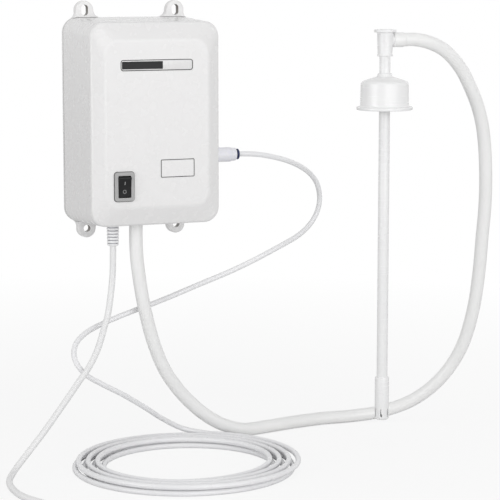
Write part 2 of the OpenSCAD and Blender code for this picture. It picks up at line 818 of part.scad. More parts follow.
module case_gasket() {
    color("dimgray") facing(plate_t) linear_extrude(gasket_t) difference() {
        rounded_rect(rim_w, rim_h, corner_r);
        rounded_rect(rim_w - 2 * wall, rim_h - 2 * wall, corner_r - wall);
    }
}

module cover_screws() {
    color("silver") facing(gap) at_corners(screw_x, screw_z) {
        cylinder(h = screw_head_h, r = screw_head_r);
        cylinder(h = screw_head_h + screw_l, r = screw_r - fit);
    }
}

module switch_frame() {
    color("darkgray") translate([switch_x, 0, switch_z]) difference() {
        union() {
            facing(case_d) linear_extrude(frame_t) rounded_rect(frame_w, frame_h, frame_r);
            facing(case_d - housing_d) linear_extrude(housing_d) square([housing_w, housing_h], center = true);
        }
        facing(case_d - housing_d + 2 * housing_wall) linear_extrude(housing_d + frame_t)
            square([rocker_w + 2 * gap, 2 * (rocker_r + gap)], center = true);
        translate([0, -pin_d, 0]) rotate([0, 90, 0])
            cylinder(h = housing_w + 2 * past, r = pin_r + fit, center = true);
    }
}

// Rocker seen from its side: two faces that meet in a shallow V, and ends that follow the swing
module rocker_outline() {
    reach = rocker_r + past;
    tip = rocker_rise + reach * tan(rocker_tilt);
    intersection() {
        circle(rocker_r);
        polygon([[rocker_back, -reach], [-tip, -reach], [-rocker_rise, 0], [-tip, reach],
            [rocker_back, reach]]);
    }
}

module switch_rocker() {
    color("black") translate([switch_x, -pin_d, switch_z]) rotate([rocker_tilt, 0, 0]) {
        rotate([90, 0, 90]) linear_extrude(rocker_w, center = true) rocker_outline();
        rotate([0, 90, 0]) cylinder(h = pin_l, r = pin_r, center = true);
    }
}

module switch_terminals() {
    color("gold") for (s = [-1, 0, 1])
        translate([switch_x, 0, switch_z + s * tab_pitch])
            facing(case_d - housing_d - tab_l) linear_extrude(tab_l) square([tab_w, tab_t], center = true);
}

// Push-in fitting: flange against the pad, thread through the wall, socket for the tube and its collet
module outlet_fitting() {
    thread_low = -(out_x - out_in_x) - thread_l;
    socket_low = fit_l - socket_d;
    collet_low = fit_l - collet_l;
    groove_low = socket_low + seal_up;
    edge = 1;
    color("lavender") on_outlet() rotate_extrude() polygon([
        [water_r, thread_low], [thread_r, thread_low], [thread_r, 0], [fit_flange_r - edge, 0],
        [fit_flange_r, edge], [fit_flange_r, fit_flange_t - edge], [fit_flange_r - edge, fit_flange_t],
        [fit_r, fit_flange_t],
        [fit_r, fit_l - 2 * edge], [fit_r - edge / 2, fit_l - edge / 2], [fit_r - 2 * edge, fit_l],
        [collet_r + fit, fit_l], [collet_r + fit, collet_low], [tube_r + 2 * fit, collet_low],
        [tube_r + 2 * fit, groove_low + seal_w], [tube_r + seal_w, groove_low + seal_w],
        [tube_r + seal_w, groove_low], [tube_r + 2 * fit, groove_low], [tube_r + 2 * fit, socket_low],
        [water_r, socket_low]]);
}

module outlet_oring() {
    color("black") on_outlet() translate([0, 0, fit_l - socket_d + seal_up + seal_w / 2])
        rotate_extrude() translate([tube_r + seal_w / 2 + fit, 0]) circle(seal_w / 2 - 2 * fit);
}

module outlet_collet() {
    head_low = fit_l + collet_travel + 2 * fit;
    sleeve_low = fit_l - collet_l + collet_travel + gap;
    color("darkslateblue") on_outlet() difference() {
        union() {
            translate([0, 0, sleeve_low]) cylinder(h = head_low - sleeve_low, r = collet_r);
            translate([0, 0, head_low]) cylinder(h = collet_head_t, r = collet_head_r);
        }
        translate([0, 0, sleeve_low - past]) cylinder(h = fit_l, r = tube_r + gap);
    }
}

// Elbow that clamps the fitting from inside and turns the water way down
module outlet_elbow() {
    color("lightsteelblue") difference() {
        union() {
            translate([elbow_x - elbow_r, -port_d, out_z]) rotate([0, 90, 0])
                cylinder(h = out_in_x - elbow_x + elbow_r, r = elbow_r);
            translate([elbow_x, -port_d, bend_z + past]) cylinder(h = out_z - bend_z - past, r = outlet_barb_r);
        }
        translate([out_in_x - thread_l, -port_d, out_z]) rotate([0, 90, 0])
            cylinder(h = thread_l + past, r = thread_r);
        translate([elbow_x, -port_d, out_z]) rotate([0, 90, 0])
            cylinder(h = out_in_x - elbow_x, r = water_r);
        translate([elbow_x, -port_d, bend_z]) cylinder(h = out_z - bend_z, r = water_r);
    }
}

// Moulded hose from the pump head's outlet barb up to the elbow
module inner_outlet_hose() {
    start_x = pump_x + pump_r;
    color("silver") {
        translate([start_x, -port_d, outlet_port_z]) rotate([0, 90, 0])
            ring(inner_hose_r, outlet_barb_r, outlet_barb_l);
        translate([start_x + outlet_barb_l, -port_d, bend_z]) rotate([90, 0, 0]) rotate([0, 0, -90])
            rotate_extrude(angle = 90) translate([bend_r, 0]) difference() {
                circle(inner_hose_r);
                circle(outlet_barb_r);
            }
        translate([elbow_x, -port_d, bend_z])
            ring(inner_hose_r, outlet_barb_r, out_z - elbow_r - bend_z);
    }
}

// Strain relief in one revolve: a head inside, a neck in the wall and a grooved taper outside
module strain_relief() {
    bore_r = lead_r + fit;
    neck_r = gland_r - gland_groove;
    low = low_z - gland_l;
    pitch = gland_l / (gland_ribs + 0.7);
    grooves = [for (i = [1 : gland_ribs])
        let (z = low + i * pitch, r = mix(gland_tip_r, gland_r, i * pitch / gland_l))
        each [[r, z - gland_groove_w], [r - gland_groove, z - gland_groove_w], [r - gland_groove, z], [r, z]]];
    color("gainsboro") translate([gland_x, -port_d, 0]) rotate_extrude() polygon(concat(
        [[bore_r, low], [gland_tip_r - gland_groove_w, low], [gland_tip_r, low + gland_groove_w]], grooves,
        [[gland_r, low_z], [neck_r, low_z], [neck_r, low_in_z], [neck_r + gland_head, low_in_z],
            [neck_r + gland_head, low_in_z + gland_head], [bore_r, low_in_z + gland_head]]));
}

// Places of the pump's long screws
module at_pump_screws() {
    for (a = [45 : 90 : 315]) rotate(a) translate([pump_screw_off, 0]) children();
}

// Places of the three working chambers
module at_cells() {
    for (a = [90, 210, 330]) rotate(a) translate([cell_off, 0]) children();
}

module pump_head() {
    way_r = inlet_barb_r - barb_t;
    color("dimgray") on_pump(head_z) difference() {
        union() {
            cylinder(h = head_h, r = pump_r);
            translate([-inlet_off, 0, -inlet_barb_l]) cylinder(h = inlet_barb_l, r = inlet_barb_r);
            translate([0, 0, head_h / 2]) rotate([0, 90, 0])
                cylinder(h = pump_r + outlet_barb_l - past, r = outlet_barb_r);
        }
        translate([-inlet_off, 0, -inlet_barb_l - past])
            cylinder(h = head_h - head_floor + inlet_barb_l, r = way_r);
        translate([0, 0, head_h / 2]) rotate([0, 90, 0])
            cylinder(h = pump_r + outlet_barb_l, r = water_r);
        translate([0, 0, head_h / 2]) cylinder(h = head_h, r = out_disc_r);
        translate([0, 0, head_h - head_floor]) ring(cell_off + gallery_w, cell_off - gallery_w, head_h);
        translate([0, 0, -past]) at_pump_screws() cylinder(h = head_h + 2 * past, r = pump_screw_r + gap);
    }
}

module valve_plate() {
    color("gray") on_pump(valve_z) difference() {
        cylinder(h = valve_t, r = pump_r);
        translate([0, 0, valve_t - disc_t]) at_cells() cylinder(h = disc_t + past, r = disc_r);
        at_cells() translate([0, 0, -past]) cylinder(h = valve_t + 2 * past, r = in_hole_r);
        translate([0, 0, -past]) for (a = [30 : 120 : 270])
            rotate(a) translate([out_hole_off, 0]) cylinder(h = valve_t + 2 * past, r = out_hole_r);
        translate([0, 0, -past]) at_pump_screws() cylinder(h = valve_t + 2 * past, r = pump_screw_r + gap);
    }
}

// Rubber discs: one for each chamber's inlet and one for the common outlet
module rubber_valves() {
    color("black") on_pump(rubber_z - disc_t) at_cells() cylinder(h = disc_t, r = disc_r - gap);
    color("black") on_pump(valve_z - out_disc_t) cylinder(h = out_disc_t, r = out_disc_r - gap);
}

// Diaphragm: a flat rim and three cups whose tops follow the tilted pistons
module diaphragm() {
    color("darkslategray") difference() {
        on_pump(rubber_z) {
            cylinder(h = rubber_t, r = pump_r);
            at_cells() cylinder(h = rubber_t + 2 * piston_low, r = out_disc_r);
        }
        on_wobble() translate([0, 0, piston_low - gap]) cylinder(h = cam_h, r = pump_r + past);
        on_pump(rubber_z - past) at_pump_screws() cylinder(h = rubber_t + 2 * past, r = pump_screw_r + gap);
    }
}

module cam_housing() {
    color("dimgray") on_pump(cam_z) difference() {
        cylinder(h = cam_h, r = pump_r);
        translate([0, 0, -past]) cylinder(h = cam_h - cam_wall, r = chamber_r);
        cylinder(h = cam_h + past, r = bearing_r + bearing_wall);
        translate([0, 0, -past]) at_pump_screws() cylinder(h = cam_h / 2 + past, r = pump_screw_r);
    }
}

// Wobble plate: a hub round its bearing, and a piston over each chamber
module wobble_plate() {
    bearing_out = cam_pin_r + fit + bearing_ring_t;
    color("ivory") on_wobble() translate([0, 0, piston_low]) difference() {
        union() {
            cylinder(h = hub_h, r = bearing_out + hub_t);
            at_cells() cylinder(h = piston_t, r = cell_r);
            for (a = [90, 210, 330]) rotate(a) translate([0, -cell_r / 2, 0])
                cube([cell_off, cell_r, piston_t]);
        }
        translate([0, 0, piston_t]) cylinder(h = hub_h, r = bearing_out);
    }
}

module wobble_bearing() {
    color("silver") on_wobble() translate([0, 0, piston_low + piston_t])
        ring(cam_pin_r + fit + bearing_ring_t, cam_pin_r + fit, hub_h - piston_t);
}

// Cam: a disc on the shaft with a tilted pin that carries the wobble plate
module cam() {
    disc_z = can_z - cam_wall - cam_disc_h;
    pin_low = piston_low + piston_t + gap;
    color("darkgray") difference() {
        union() {
            on_pump(disc_z) cylinder(h = cam_disc_h, r = cam_pin_r + cam_rim);
            difference() {
                on_wobble() translate([0, 0, pin_low]) cylinder(h = cam_h - pin_low, r = cam_pin_r);
                on_pump(disc_z + cam_disc_h / 2) cylinder(h = cam_h, r = pump_r);
            }
        }
        on_pump(disc_z) cylinder(h = cam_h, r = shaft_r);
    }
}

// Long screws through the pump's stack, and the four that hold its bracket
module pump_screws() {
    color("silver") on_pump(head_z - screw_cap_h) at_pump_screws() {
        cylinder(h = screw_cap_h, r = 2 * pump_screw_r);
        cylinder(h = screw_cap_h + head_h + valve_t + rubber_t + cam_h / 2 - past, r = pump_screw_r - fit);
    }
    color("silver") facing(plate_t) translate([pump_x, bracket_z]) at_corners(foot_x, foot_z) {
        cylinder(h = bracket_face_d - plate_t, r = mount_screw_r - fit);
        translate([0, 0, bracket_face_d - plate_t]) cylinder(h = screw_cap_h, r = 2 * mount_screw_r);
    }
}

// Children on the pressure switch's axis, their own Z pointing away from the pump head to the left
module on_pressure() {
    translate([pump_x - pump_r, -port_d, outlet_port_z]) rotate([0, -90, 0]) children();
}

module pressure_switch_body() {
    color("darkslategray") on_pressure() difference() {
        cylinder(h = press_l, r = press_r);
        translate([0, 0, press_wall]) cylinder(h = press_l - 2 * press_wall, r = press_r - press_wall);
        translate([0, 0, press_wall]) cylinder(h = press_l, r = plunger_r + fit);
    }
}

module pressure_plunger() {
    color("ivory") on_pressure() {
        translate([0, 0, press_wall + gap]) cylinder(h = plunger_disc_t, r = press_r - press_wall - gap);
        translate([0, 0, press_wall + gap]) cylinder(h = press_l - press_wall + plunger_out, r = plunger_r);
    }
}

// Spring round the plunger's stem
module pressure_spring() {
    low = press_wall + plunger_disc_t + 2 * gap + spring_wire / 2;
    high = press_l - press_wall - gap - spring_wire / 2;
    mid_r = plunger_r + gap + spring_wire / 2 + spring_space;
    n = 8 * spring_turns;
    color("silver") on_pressure() tube([for (i = [0 : n])
        [mid_r * cos(45 * i), mid_r * sin(45 * i), mix(low, high, i / n)]], spring_wire / 2, 6);
}

module microswitch() {
    color("black") on_pressure() translate([0, 0, press_l]) difference() {
        translate([-press_r, -press_r / 2, 0]) cube([2 * press_r, press_r, micro_t]);
        translate([0, 0, -past])
            cylinder(h = past + plunger_out + plunger_travel + 2 * gap, r = plunger_r + gap);
    }
}

module motor_can() {
    color("silver") on_pump(can_z) difference() {
        cylinder(h = can_l, r = can_r);
        translate([0, 0, can_face_t]) cylinder(h = can_l, r = can_r - can_t);
        translate([0, 0, -past]) cylinder(h = can_l, r = bearing_r);
    }
}

// Two curved magnets inside the can
module motor_magnets() {
    color("dimgray") on_pump(rotor_z - winding_over / 2) difference() {
        ring(can_r - can_t, can_r - can_t - magnet_t, rotor_l + winding_over);
        for (a = [0, 180]) rotate(a) translate([0, -magnet_gap * can_r / 2, -past])
            cube([2 * can_r, magnet_gap * can_r, rotor_l + winding_over + 2 * past]);
    }
}

module motor_end_cap() {
    color("black") on_pump(endcap_z) difference() {
        cylinder(h = endcap_h, r = can_r);
        translate([0, 0, -past]) cylinder(h = bearing_h + endcap_wall + past, r = bearing_r);
        translate([0, 0, -past])
            ring(can_r - endcap_rim, bearing_r + endcap_wall, endcap_h - endcap_wall + past);
    }
}

module motor_brushes() {
    arm = can_r - can_t - commutator_r - 2 * gap;
    color("darkgoldenrod") on_pump(commutator_z + (commutator_h - brush_h) / 2) for (a = [0, 180])
        rotate(a) translate([commutator_r + gap, -brush_w / 2, 0]) cube([arm, brush_w, brush_h]);
}

module motor_bearings() {
    color("goldenrod") {
        on_pump(can_z) ring(bearing_r, shaft_r + fit, bearing_h);
        on_pump(endcap_z + endcap_wall) ring(bearing_r, shaft_r + fit, bearing_h);
    }
}

module motor_shaft() {
    low = can_z - cam_wall - cam_disc_h;
    color("silver") on_pump(low) cylinder(h = shaft_top - gap - low, r = shaft_r);
}

// Laminated rotor with a slot between each two poles
module rotor_core() {
    color("dimgray") on_pump(rotor_z) difference() {
        cylinder(h = rotor_l, r = rotor_r);
        translate([0, 0, -past]) cylinder(h = rotor_l + 2 * past, r = shaft_r);
        for (k = [0 : rotor_poles - 1]) rotate(360 * k / rotor_poles) {
            translate([rotor_r / 2 + pole_gap, 0, -past]) cylinder(h = rotor_l + 2 * past, r = rotor_r / 5);
            translate([rotor_r / 2 + pole_gap, -pole_gap / 2, -past])
                cube([rotor_r, pole_gap, rotor_l + 2 * past]);
        }
    }
}

// End turns of the rotor's windings
module rotor_windings() {
    color("peru") on_pump(rotor_z) for (z = [-winding_over, rotor_l])
        translate([0, 0, z]) ring(rotor_r - winding_in, shaft_r + winding_in, winding_over);
}

module commutator() {
    color("darkgoldenrod") on_pump(commutator_z) ring(commutator_r, shaft_r, commutator_h);
}

// Bracket: a plate on rubber feet, and two saddles that the motor lies in
module pump_bracket() {
    color("lightgray") difference() {
        union() {
            facing(bracket_d) translate([pump_x, bracket_z]) linear_extrude(bracket_t)
                rounded_rect(bracket_w, bracket_h, bracket_corner);
            for (s = [-1, 1]) translate([pump_x - saddle_w / 2, -port_d, bracket_z + s * strap_z - strap_w / 2])
                cube([saddle_w, port_d - bracket_face_d + fit, strap_w]);
        }
        on_pump(can_z) cylinder(h = can_l, r = can_r);
        facing(bracket_d - past) translate([pump_x, bracket_z]) at_corners(foot_x, foot_z)
            cylinder(h = bracket_t + 2 * past, r = mount_screw_r + gap);
    }
}

module rubber_feet() {
    color("black") facing(plate_t + stud_h) translate([pump_x, bracket_z]) at_corners(foot_x, foot_z)
        ring(foot_r, mount_screw_r + gap, foot_h);
}

// Two straps over the motor, with feet on the bracket
module motor_straps() {
    back = port_d - bracket_face_d;
    color("silver") for (s = [-1, 1]) on_pump(bracket_z + s * strap_z - strap_w / 2) linear_extrude(strap_w) {
        difference() {
            circle(can_r + strap_t);
            circle(can_r);
            translate([-2 * can_r, 0]) square(4 * can_r);
        }
        for (side = [-1, 1]) {
            translate([side * (can_r + strap_t / 2) - strap_t / 2, 0]) square([strap_t, back]);
            translate([side > 0 ? can_r : -can_r - strap_t - strap_foot, back - strap_t])
                square([strap_t + strap_foot, strap_t]);
        }
    }
}

module transformer_bracket() {
    side_h = core_back_d + core_d - trafo_base_d - trafo_base_t;
    color("silver") translate([trafo_mid_x, 0, trafo_mid_z]) {
        facing(trafo_base_d) linear_extrude(trafo_base_t)
            square([2 * (trafo_stud_x + stud_r), winding_h], center = true);
        facing(trafo_base_d + trafo_base_t) linear_extrude(side_h) for (s = [-1, 1])
            translate([s * (core_w + trafo_base_t) / 2, 0]) square([trafo_base_t, winding_h], center = true);
    }
}

module transformer_core() {
    color("dimgray") translate([trafo_mid_x, 0, trafo_mid_z]) difference() {
        facing(core_back_d) linear_extrude(core_d) square([core_w, core_h], center = true);
        facing(core_back_d - past) linear_extrude(core_d + 2 * past)
            square([winding_w, winding_h], center = true);
    }
}

module transformer_coil() {
    color("peru") translate([trafo_mid_x, 0, trafo_mid_z])
        facing(trafo_base_d + trafo_base_t) linear_extrude(winding_d)
            square([winding_w, winding_h], center = true);
}

module circuit_board() {
    color("darkgreen") facing(board_d) translate([board_x, board_mid_z]) linear_extrude(board_t)
        square([board_w, board_h], center = true);
}

// Rectifier, smoothing capacitor, terminal block and fuse in its holder, each seated on the board
module board_parts() {
    color("black") facing(board_face_d) translate([board_x, board_mid_z]) {
        for (part = [[rectifier_at, rectifier], [block_at, block], [fuse_at, fuse]])
            translate(part[0]) linear_extrude(part[1][2]) square([part[1][0], part[1][1]], center = true);
        translate(capacitor_at) cylinder(h = capacitor_h, r = capacitor_r);
    }
}

// Wires: lead to switch in front of the pressure switch, switch to transformer, and terminal block to motor
module inner_wires() {
    lead_in = [gland_x, -port_d, low_in_z + pad_in + past];
    low_tab = [switch_x, -tab_d, switch_z - tab_pitch - tab_t / 2 - gap];
    high_tab = [switch_x, -tab_d, switch_z + tab_pitch + tab_t / 2 + gap];
    coil_end = [trafo_mid_x - winding_w / 4, -core_back_d - core_d - wire_od,
        trafo_mid_z - winding_h / 2 - gap];
    side_x = -rim_w / 2 + wire_in;
    block_end = [board_x + block_at[0] + block[0] / 4, -board_face_d - block[2] - gap,
        board_mid_z + block_at[1]];
    motor_end = [pump_x + motor_tab[0], -port_d + motor_tab[1], endcap_z + endcap_h + gap];
    routes = [
        [lead_in, lead_in + [0, 0, wire_od],
            [gland_x, -port_d - press_r - 2 * wire_od, outlet_port_z - press_r],
            low_tab - [0, 0, wire_end], low_tab],
        [high_tab, high_tab + [0, 0, wire_end],
            [side_x, mix(high_tab, coil_end, 0.4)[1], mix(switch_z, trafo_mid_z, 0.4)],
            [side_x, mix(high_tab, coil_end, 0.7)[1], mix(switch_z, trafo_mid_z, 0.7)],
            coil_end - [0, 0, wire_end], coil_end],
        [block_end, block_end - [0, wire_end, 0], motor_end + [0, 0, wire_rise], motor_end]];
    color("firebrick") for (p = routes) tube(curve(p, 4), wire_od / 2, 6);
}

// Ends of the suction hose: one on the pump's barb, and one swollen over the tee's barb
module hose_ends() {
    color("white") translate([hose_x, -port_d, tail_z]) ring(hose_r, hose_bore_r, head_z - tail_z - fit);
    color("white") translate([barb_x + past, wand_y, port_z]) rotate([0, 90, 0])
        ring(hose_r + cuff_swell, hose_bore_r, tee_barb_l);
}

module hose_clamp() {
    color("silver") translate([hose_x, -port_d, tail_z + clamp_h - barb_t]) {
        ring(hose_r + clamp_t, hose_r, clamp_h);
        translate([-hose_r - clamp_h - past, -clamp_lug / 2, 0]) cube([clamp_h, clamp_lug, clamp_h]);
    }
}

module suction_hose() {
    color("white") tube(curve(hose_route, 2), hose_r, 10);
}

module wand_tee() {
    color("white") difference() {
        union() {
            on_wand() translate([0, 0, tee_z]) cylinder(h = tee_h, r = tee_r);
            translate([wand_x, wand_y, port_z]) rotate([0, 90, 0])
                cylinder(h = tee_r + tee_barb_l, r = hose_bore_r);
            translate([wand_x, wand_y, port_z]) rotate([0, 90, 0]) cylinder(h = tee_r + past, r = hose_r - 1);
        }
        on_wand() translate([0, 0, tee_z - past]) cylinder(h = dip_in + past, r = dip_r);
        on_wand() translate([0, 0, tee_z]) cylinder(h = tee_h + past, r = dip_r - dip_t);
        translate([wand_x, wand_y, port_z]) rotate([0, 90, 0])
            cylinder(h = tee_r + tee_barb_l + past, r = hose_bore_r - barb_t);
    }
}

module wand_plug() {
    color("white") on_wand() {
        translate([0, 0, tee_top]) cylinder(h = plug_t, r = plug_r);
        translate([0, 0, port_z + hose_bore_r]) cylinder(h = tee_top - port_z - hose_bore_r, r = dip_r - dip_t);
    }
}

module dip_tube() {
    color("white") on_wand() translate([0, 0, dip_low]) ring(dip_r, dip_r - dip_t, dip_top - dip_low);
}

// Cap that slides on the dip tube: collar, cone, skirt and flange in one revolve
module bottle_cap() {
    in_z = cap_top_z - cap_top_t;
    color("white") on_wand() rotate_extrude($fn = 96) polygon([
        [dip_r + fit, in_z], [dip_r + fit, cap_top_z + cone_h + collar_h],
        [collar_r, cap_top_z + cone_h + collar_h],
        [collar_r, cap_top_z + cone_h],
        [cap_r - 4 * cap_soft, cap_top_z + cap_soft], [cap_r, cap_top_z - 3 * cap_soft],
        [cap_r, cap_z + cap_flange_t], [cap_flange_r - cap_soft, cap_z + cap_flange_t],
        [cap_flange_r, cap_z + cap_flange_t - cap_soft], [cap_flange_r, cap_z],
        [neck_r, cap_z], [neck_r, in_z]]);
}

module cap_seal() {
    color("lightgray") on_wand() translate([0, 0, cap_top_z - cap_top_t - seal_t])
        ring(neck_r, dip_r + gap, seal_t);
}

// Foot valve: sleeve glued on the dip tube, a seat, a chamber for the poppet and a slotted tip
module foot_valve() {
    color("white") on_wand() difference() {
        union() {
            translate([0, 0, sleeve_z]) cylinder(h = sleeve_l, r = sleeve_r);
            rotate_extrude() translate([0, foot_tip_z]) difference() {
                union() {
                    translate([0, tip_r]) square([sleeve_r, strainer_l - tip_r]);
                    square([sleeve_r - tip_r, strainer_l]);
                    translate([sleeve_r - tip_r, tip_r]) circle(tip_r);
                }
                translate([-sleeve_r, -past]) square([sleeve_r, strainer_l]);
            }
        }
        translate([0, 0, dip_low]) cylinder(h = sleeve_l, r = dip_r);
        translate([0, 0, seat_z]) cylinder(h = sleeve_l, r = poppet_r + poppet_side);
        translate([0, 0, foot_tip_z + tip_floor]) cylinder(h = seat_z - foot_tip_z, r = poppet_way_r);
        for (k = [0 : strainer_slots - 1]) rotate(360 * k / strainer_slots)
            translate([0, -strainer_slot / 2, foot_tip_z + slot_floor])
                cube([2 * sleeve_r, strainer_slot, slot_h]);
    }
}

// Poppet: a disc on the seat with a guide stem in the way below
module foot_poppet() {
    color("cornflowerblue") on_wand() translate([0, 0, seat_z]) {
        translate([0, 0, gap]) cylinder(h = poppet_t, r = poppet_r);
        translate([0, 0, -poppet_stem]) cylinder(h = poppet_stem + gap, r = poppet_way_r - gap);
    }
}

module outlet_tube() {
    color("aliceblue") tube(curve(tube_route, 2), tube_r, 8);
}

module outlet_tube_coil() {
    color("aliceblue") tube(tube_coil_points, tube_r, 6);
}

module power_lead() {
    color("white") tube(curve(lead_route, 2), lead_r, 10);
}

module power_lead_coil() {
    color("white") tube(lead_coil_points, lead_r, 6);
}

// Tie round the turns of the lead's coil, opposite its start
module lead_tie() {
    across = floor(lead_turns - 0.25) + 1;
    mid_r = lead_coil_r - lead_step * across / 2;
    inner_w = lead_step * (across - 1) + lead_od + 2 * coil_gap;
    inner_h = 2 * lead_od + coil_gap + 2 * gap;
    color("black") translate(lead_coil_c + [mid_r, 0, inner_h / 2 - lead_r - gap])
        rotate([90, 0, 0]) linear_extrude(tie_w, center = true) difference() {
            square([inner_w + 2 * tie_t, inner_h + 2 * tie_t], center = true);
            square([inner_w, inner_h], center = true);
        }
}

// Plug at the end of the lead: a tapered neck, a rounded grip, two flat blades and a round earth pin
module power_plug() {
    translate(lead_end) rotate([0, 90, atan2(lead_end_way[1], lead_end_way[0])]) {
        color("white") cylinder(h = neck_l, r1 = lead_r + neck_in, r2 = lead_r + neck_out);
        color("white") translate([0, 0, neck_l - fit]) linear_extrude(plug_l - neck_l + fit)
            rounded_rect(plug_h, plug_w, grip_r);
        color("gold") for (s = [-1, 1]) translate([-plug_h / 6, s * blade_pitch / 2, plug_l - fit])
            linear_extrude(blade_l) square([blade_w, blade_t], center = true);
        color("gold") translate([plug_h / 2 - 2 * earth_r - past, 0, plug_l - fit])
            cylinder(h = blade_l + earth_over, r = earth_r);
    }
}

back_plate();
front_cover();
case_gasket();
cover_screws();
switch_frame();
switch_rocker();
switch_terminals();
outlet_fitting();
outlet_oring();
outlet_collet();
outlet_elbow();
inner_outlet_hose();
strain_relief();
pump_head();
valve_plate();
rubber_valves();
diaphragm();
cam_housing();
wobble_plate();
wobble_bearing();
cam();
pump_screws();
pressure_switch_body();
pressure_plunger();
pressure_spring();
microswitch();
motor_can();
motor_magnets();
motor_end_cap();
motor_brushes();
motor_bearings();
motor_shaft();
rotor_core();
rotor_windings();
commutator();
pump_bracket();
rubber_feet();
motor_straps();
transformer_bracket();
transformer_core();
transformer_coil();
circuit_board();
board_parts();
inner_wires();
hose_ends();
hose_clamp();
suction_hose();
wand_tee();
wand_plug();
dip_tube();
bottle_cap();
cap_seal();
foot_valve();
foot_poppet();
outlet_tube();
outlet_tube_coil();
power_lead();
power_lead_coil();
lead_tie();
power_plug();
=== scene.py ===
# %% [markdown]
# # Dressing a wall-hung water pump
# The real object is a white moulded box that hangs on a wall. The pump inside it draws water up a wand
# through a thick hose and sends it out through a thin milky tube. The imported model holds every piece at
# its true size. This lesson gives the pieces their soft edges, lays the cords and makes the finishes. It
# starts by loading the model and noting its box, because the dressed model has to keep that size.

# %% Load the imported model
import json
import math

import bmesh
import bpy
from mathutils import Matrix, Vector, geometry


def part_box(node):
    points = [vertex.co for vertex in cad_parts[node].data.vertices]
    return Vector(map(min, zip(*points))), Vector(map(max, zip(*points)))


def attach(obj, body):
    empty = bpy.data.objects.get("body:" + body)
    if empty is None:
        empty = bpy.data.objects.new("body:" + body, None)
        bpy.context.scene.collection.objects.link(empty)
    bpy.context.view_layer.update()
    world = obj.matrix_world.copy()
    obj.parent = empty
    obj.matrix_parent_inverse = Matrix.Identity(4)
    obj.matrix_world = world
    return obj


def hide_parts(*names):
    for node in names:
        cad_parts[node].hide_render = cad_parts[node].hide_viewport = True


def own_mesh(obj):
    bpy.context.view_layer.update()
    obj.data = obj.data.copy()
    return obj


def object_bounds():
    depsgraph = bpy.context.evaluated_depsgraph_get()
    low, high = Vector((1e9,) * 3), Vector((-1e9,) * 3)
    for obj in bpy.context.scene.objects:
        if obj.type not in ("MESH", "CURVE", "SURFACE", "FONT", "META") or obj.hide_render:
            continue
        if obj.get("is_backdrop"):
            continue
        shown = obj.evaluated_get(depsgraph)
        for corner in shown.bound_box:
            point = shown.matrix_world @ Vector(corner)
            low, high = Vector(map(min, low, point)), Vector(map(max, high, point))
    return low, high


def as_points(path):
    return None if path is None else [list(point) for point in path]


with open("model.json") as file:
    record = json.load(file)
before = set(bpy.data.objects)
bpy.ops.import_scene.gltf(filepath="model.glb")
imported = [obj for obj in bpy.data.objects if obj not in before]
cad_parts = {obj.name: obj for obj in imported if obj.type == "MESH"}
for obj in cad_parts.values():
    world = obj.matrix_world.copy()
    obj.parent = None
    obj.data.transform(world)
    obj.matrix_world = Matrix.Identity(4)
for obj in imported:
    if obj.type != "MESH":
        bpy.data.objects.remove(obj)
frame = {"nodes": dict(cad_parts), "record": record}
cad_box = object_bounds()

nodes = frame["nodes"]
subparts = frame["record"]["subparts"]
scene = bpy.context.scene
scene.view_settings.view_transform = "Standard"
MM = 0.001


def add_object(name, data):
    made = bpy.data.objects.new(name, data)
    scene.collection.objects.link(made)
    return made


print(f"{len(nodes)} nodes, lowest at {cad_box[0].z:.3f} m and highest at {cad_box[1].z:.3f} m")

# %% [markdown]
# ## Camera
# The photograph was taken from a little above and to the left of the box, with a long lens, so upright
# edges stay upright. A camera could be dragged into place by eye. Here its place was fitted to the
# corners of the box and its wall ears, so the numbers are given directly.

# %% Camera
CAMERA_TILT, CAMERA_TURN = math.radians(82.0), math.radians(-22.51)
lens = bpy.data.cameras.new("photo_camera")
lens.lens = 144
lens.sensor_width = 36
camera = add_object("photo_camera", lens)
camera.location = (-0.7875, -2.2822, 0.1782)
camera.rotation_euler = (CAMERA_TILT, 0, CAMERA_TURN)
scene.camera = camera
print(f"camera {camera.location.length:.2f} m from the middle of the box's back")

# %% [markdown]
# ## Nodes for the finishes
# Every material below is a small tree of shader nodes. Writing each node and link out in full would hide
# what a finish is, so two helpers add a node, set its inputs and link what is already a socket. Four more
# give the usual nodes short names.

# %% Helpers that add nodes
def fill(tree, node, inputs):
    for name, value in inputs.items():
        if isinstance(value, bpy.types.NodeSocket):
            tree.links.new(value, node.inputs[name])
        else:
            node.inputs[name].default_value = value


def add_node(tree, kind, inputs=None, **settings):
    made = tree.nodes.new(kind)
    for name, value in settings.items():
        setattr(made, name, value)
    fill(tree, made, inputs or {})
    return made.outputs


def maths(tree, operation, first, second, **settings):
    return add_node(tree, "ShaderNodeMath", {0: first, 1: second}, operation=operation, **settings)[0]


def noise(tree, where, scale, detail):
    return add_node(tree, "ShaderNodeTexNoise", {"Vector": where, "Scale": scale, "Detail": detail})[0]


def blend(tree, share, first, second):
    return add_node(tree, "ShaderNodeMix", {0: share, 6: first, 7: second}, data_type="RGBA")[2]


def stretch(tree, value, low, high, to_low=0.0, to_high=1.0):
    limits = {"Value": value, "From Min": low, "From Max": high, "To Min": to_low, "To Max": to_high}
    return add_node(tree, "ShaderNodeMapRange", limits)["Result"]


print("node helpers ready")

# %% [markdown]
# A node group is a small tree that several materials share. The groups for plastic, metal and windings
# are alike at both ends: a mask blends two colours and two values of gloss, and a height makes the bump.
# So helpers start and end them, and only the middle is written for each.

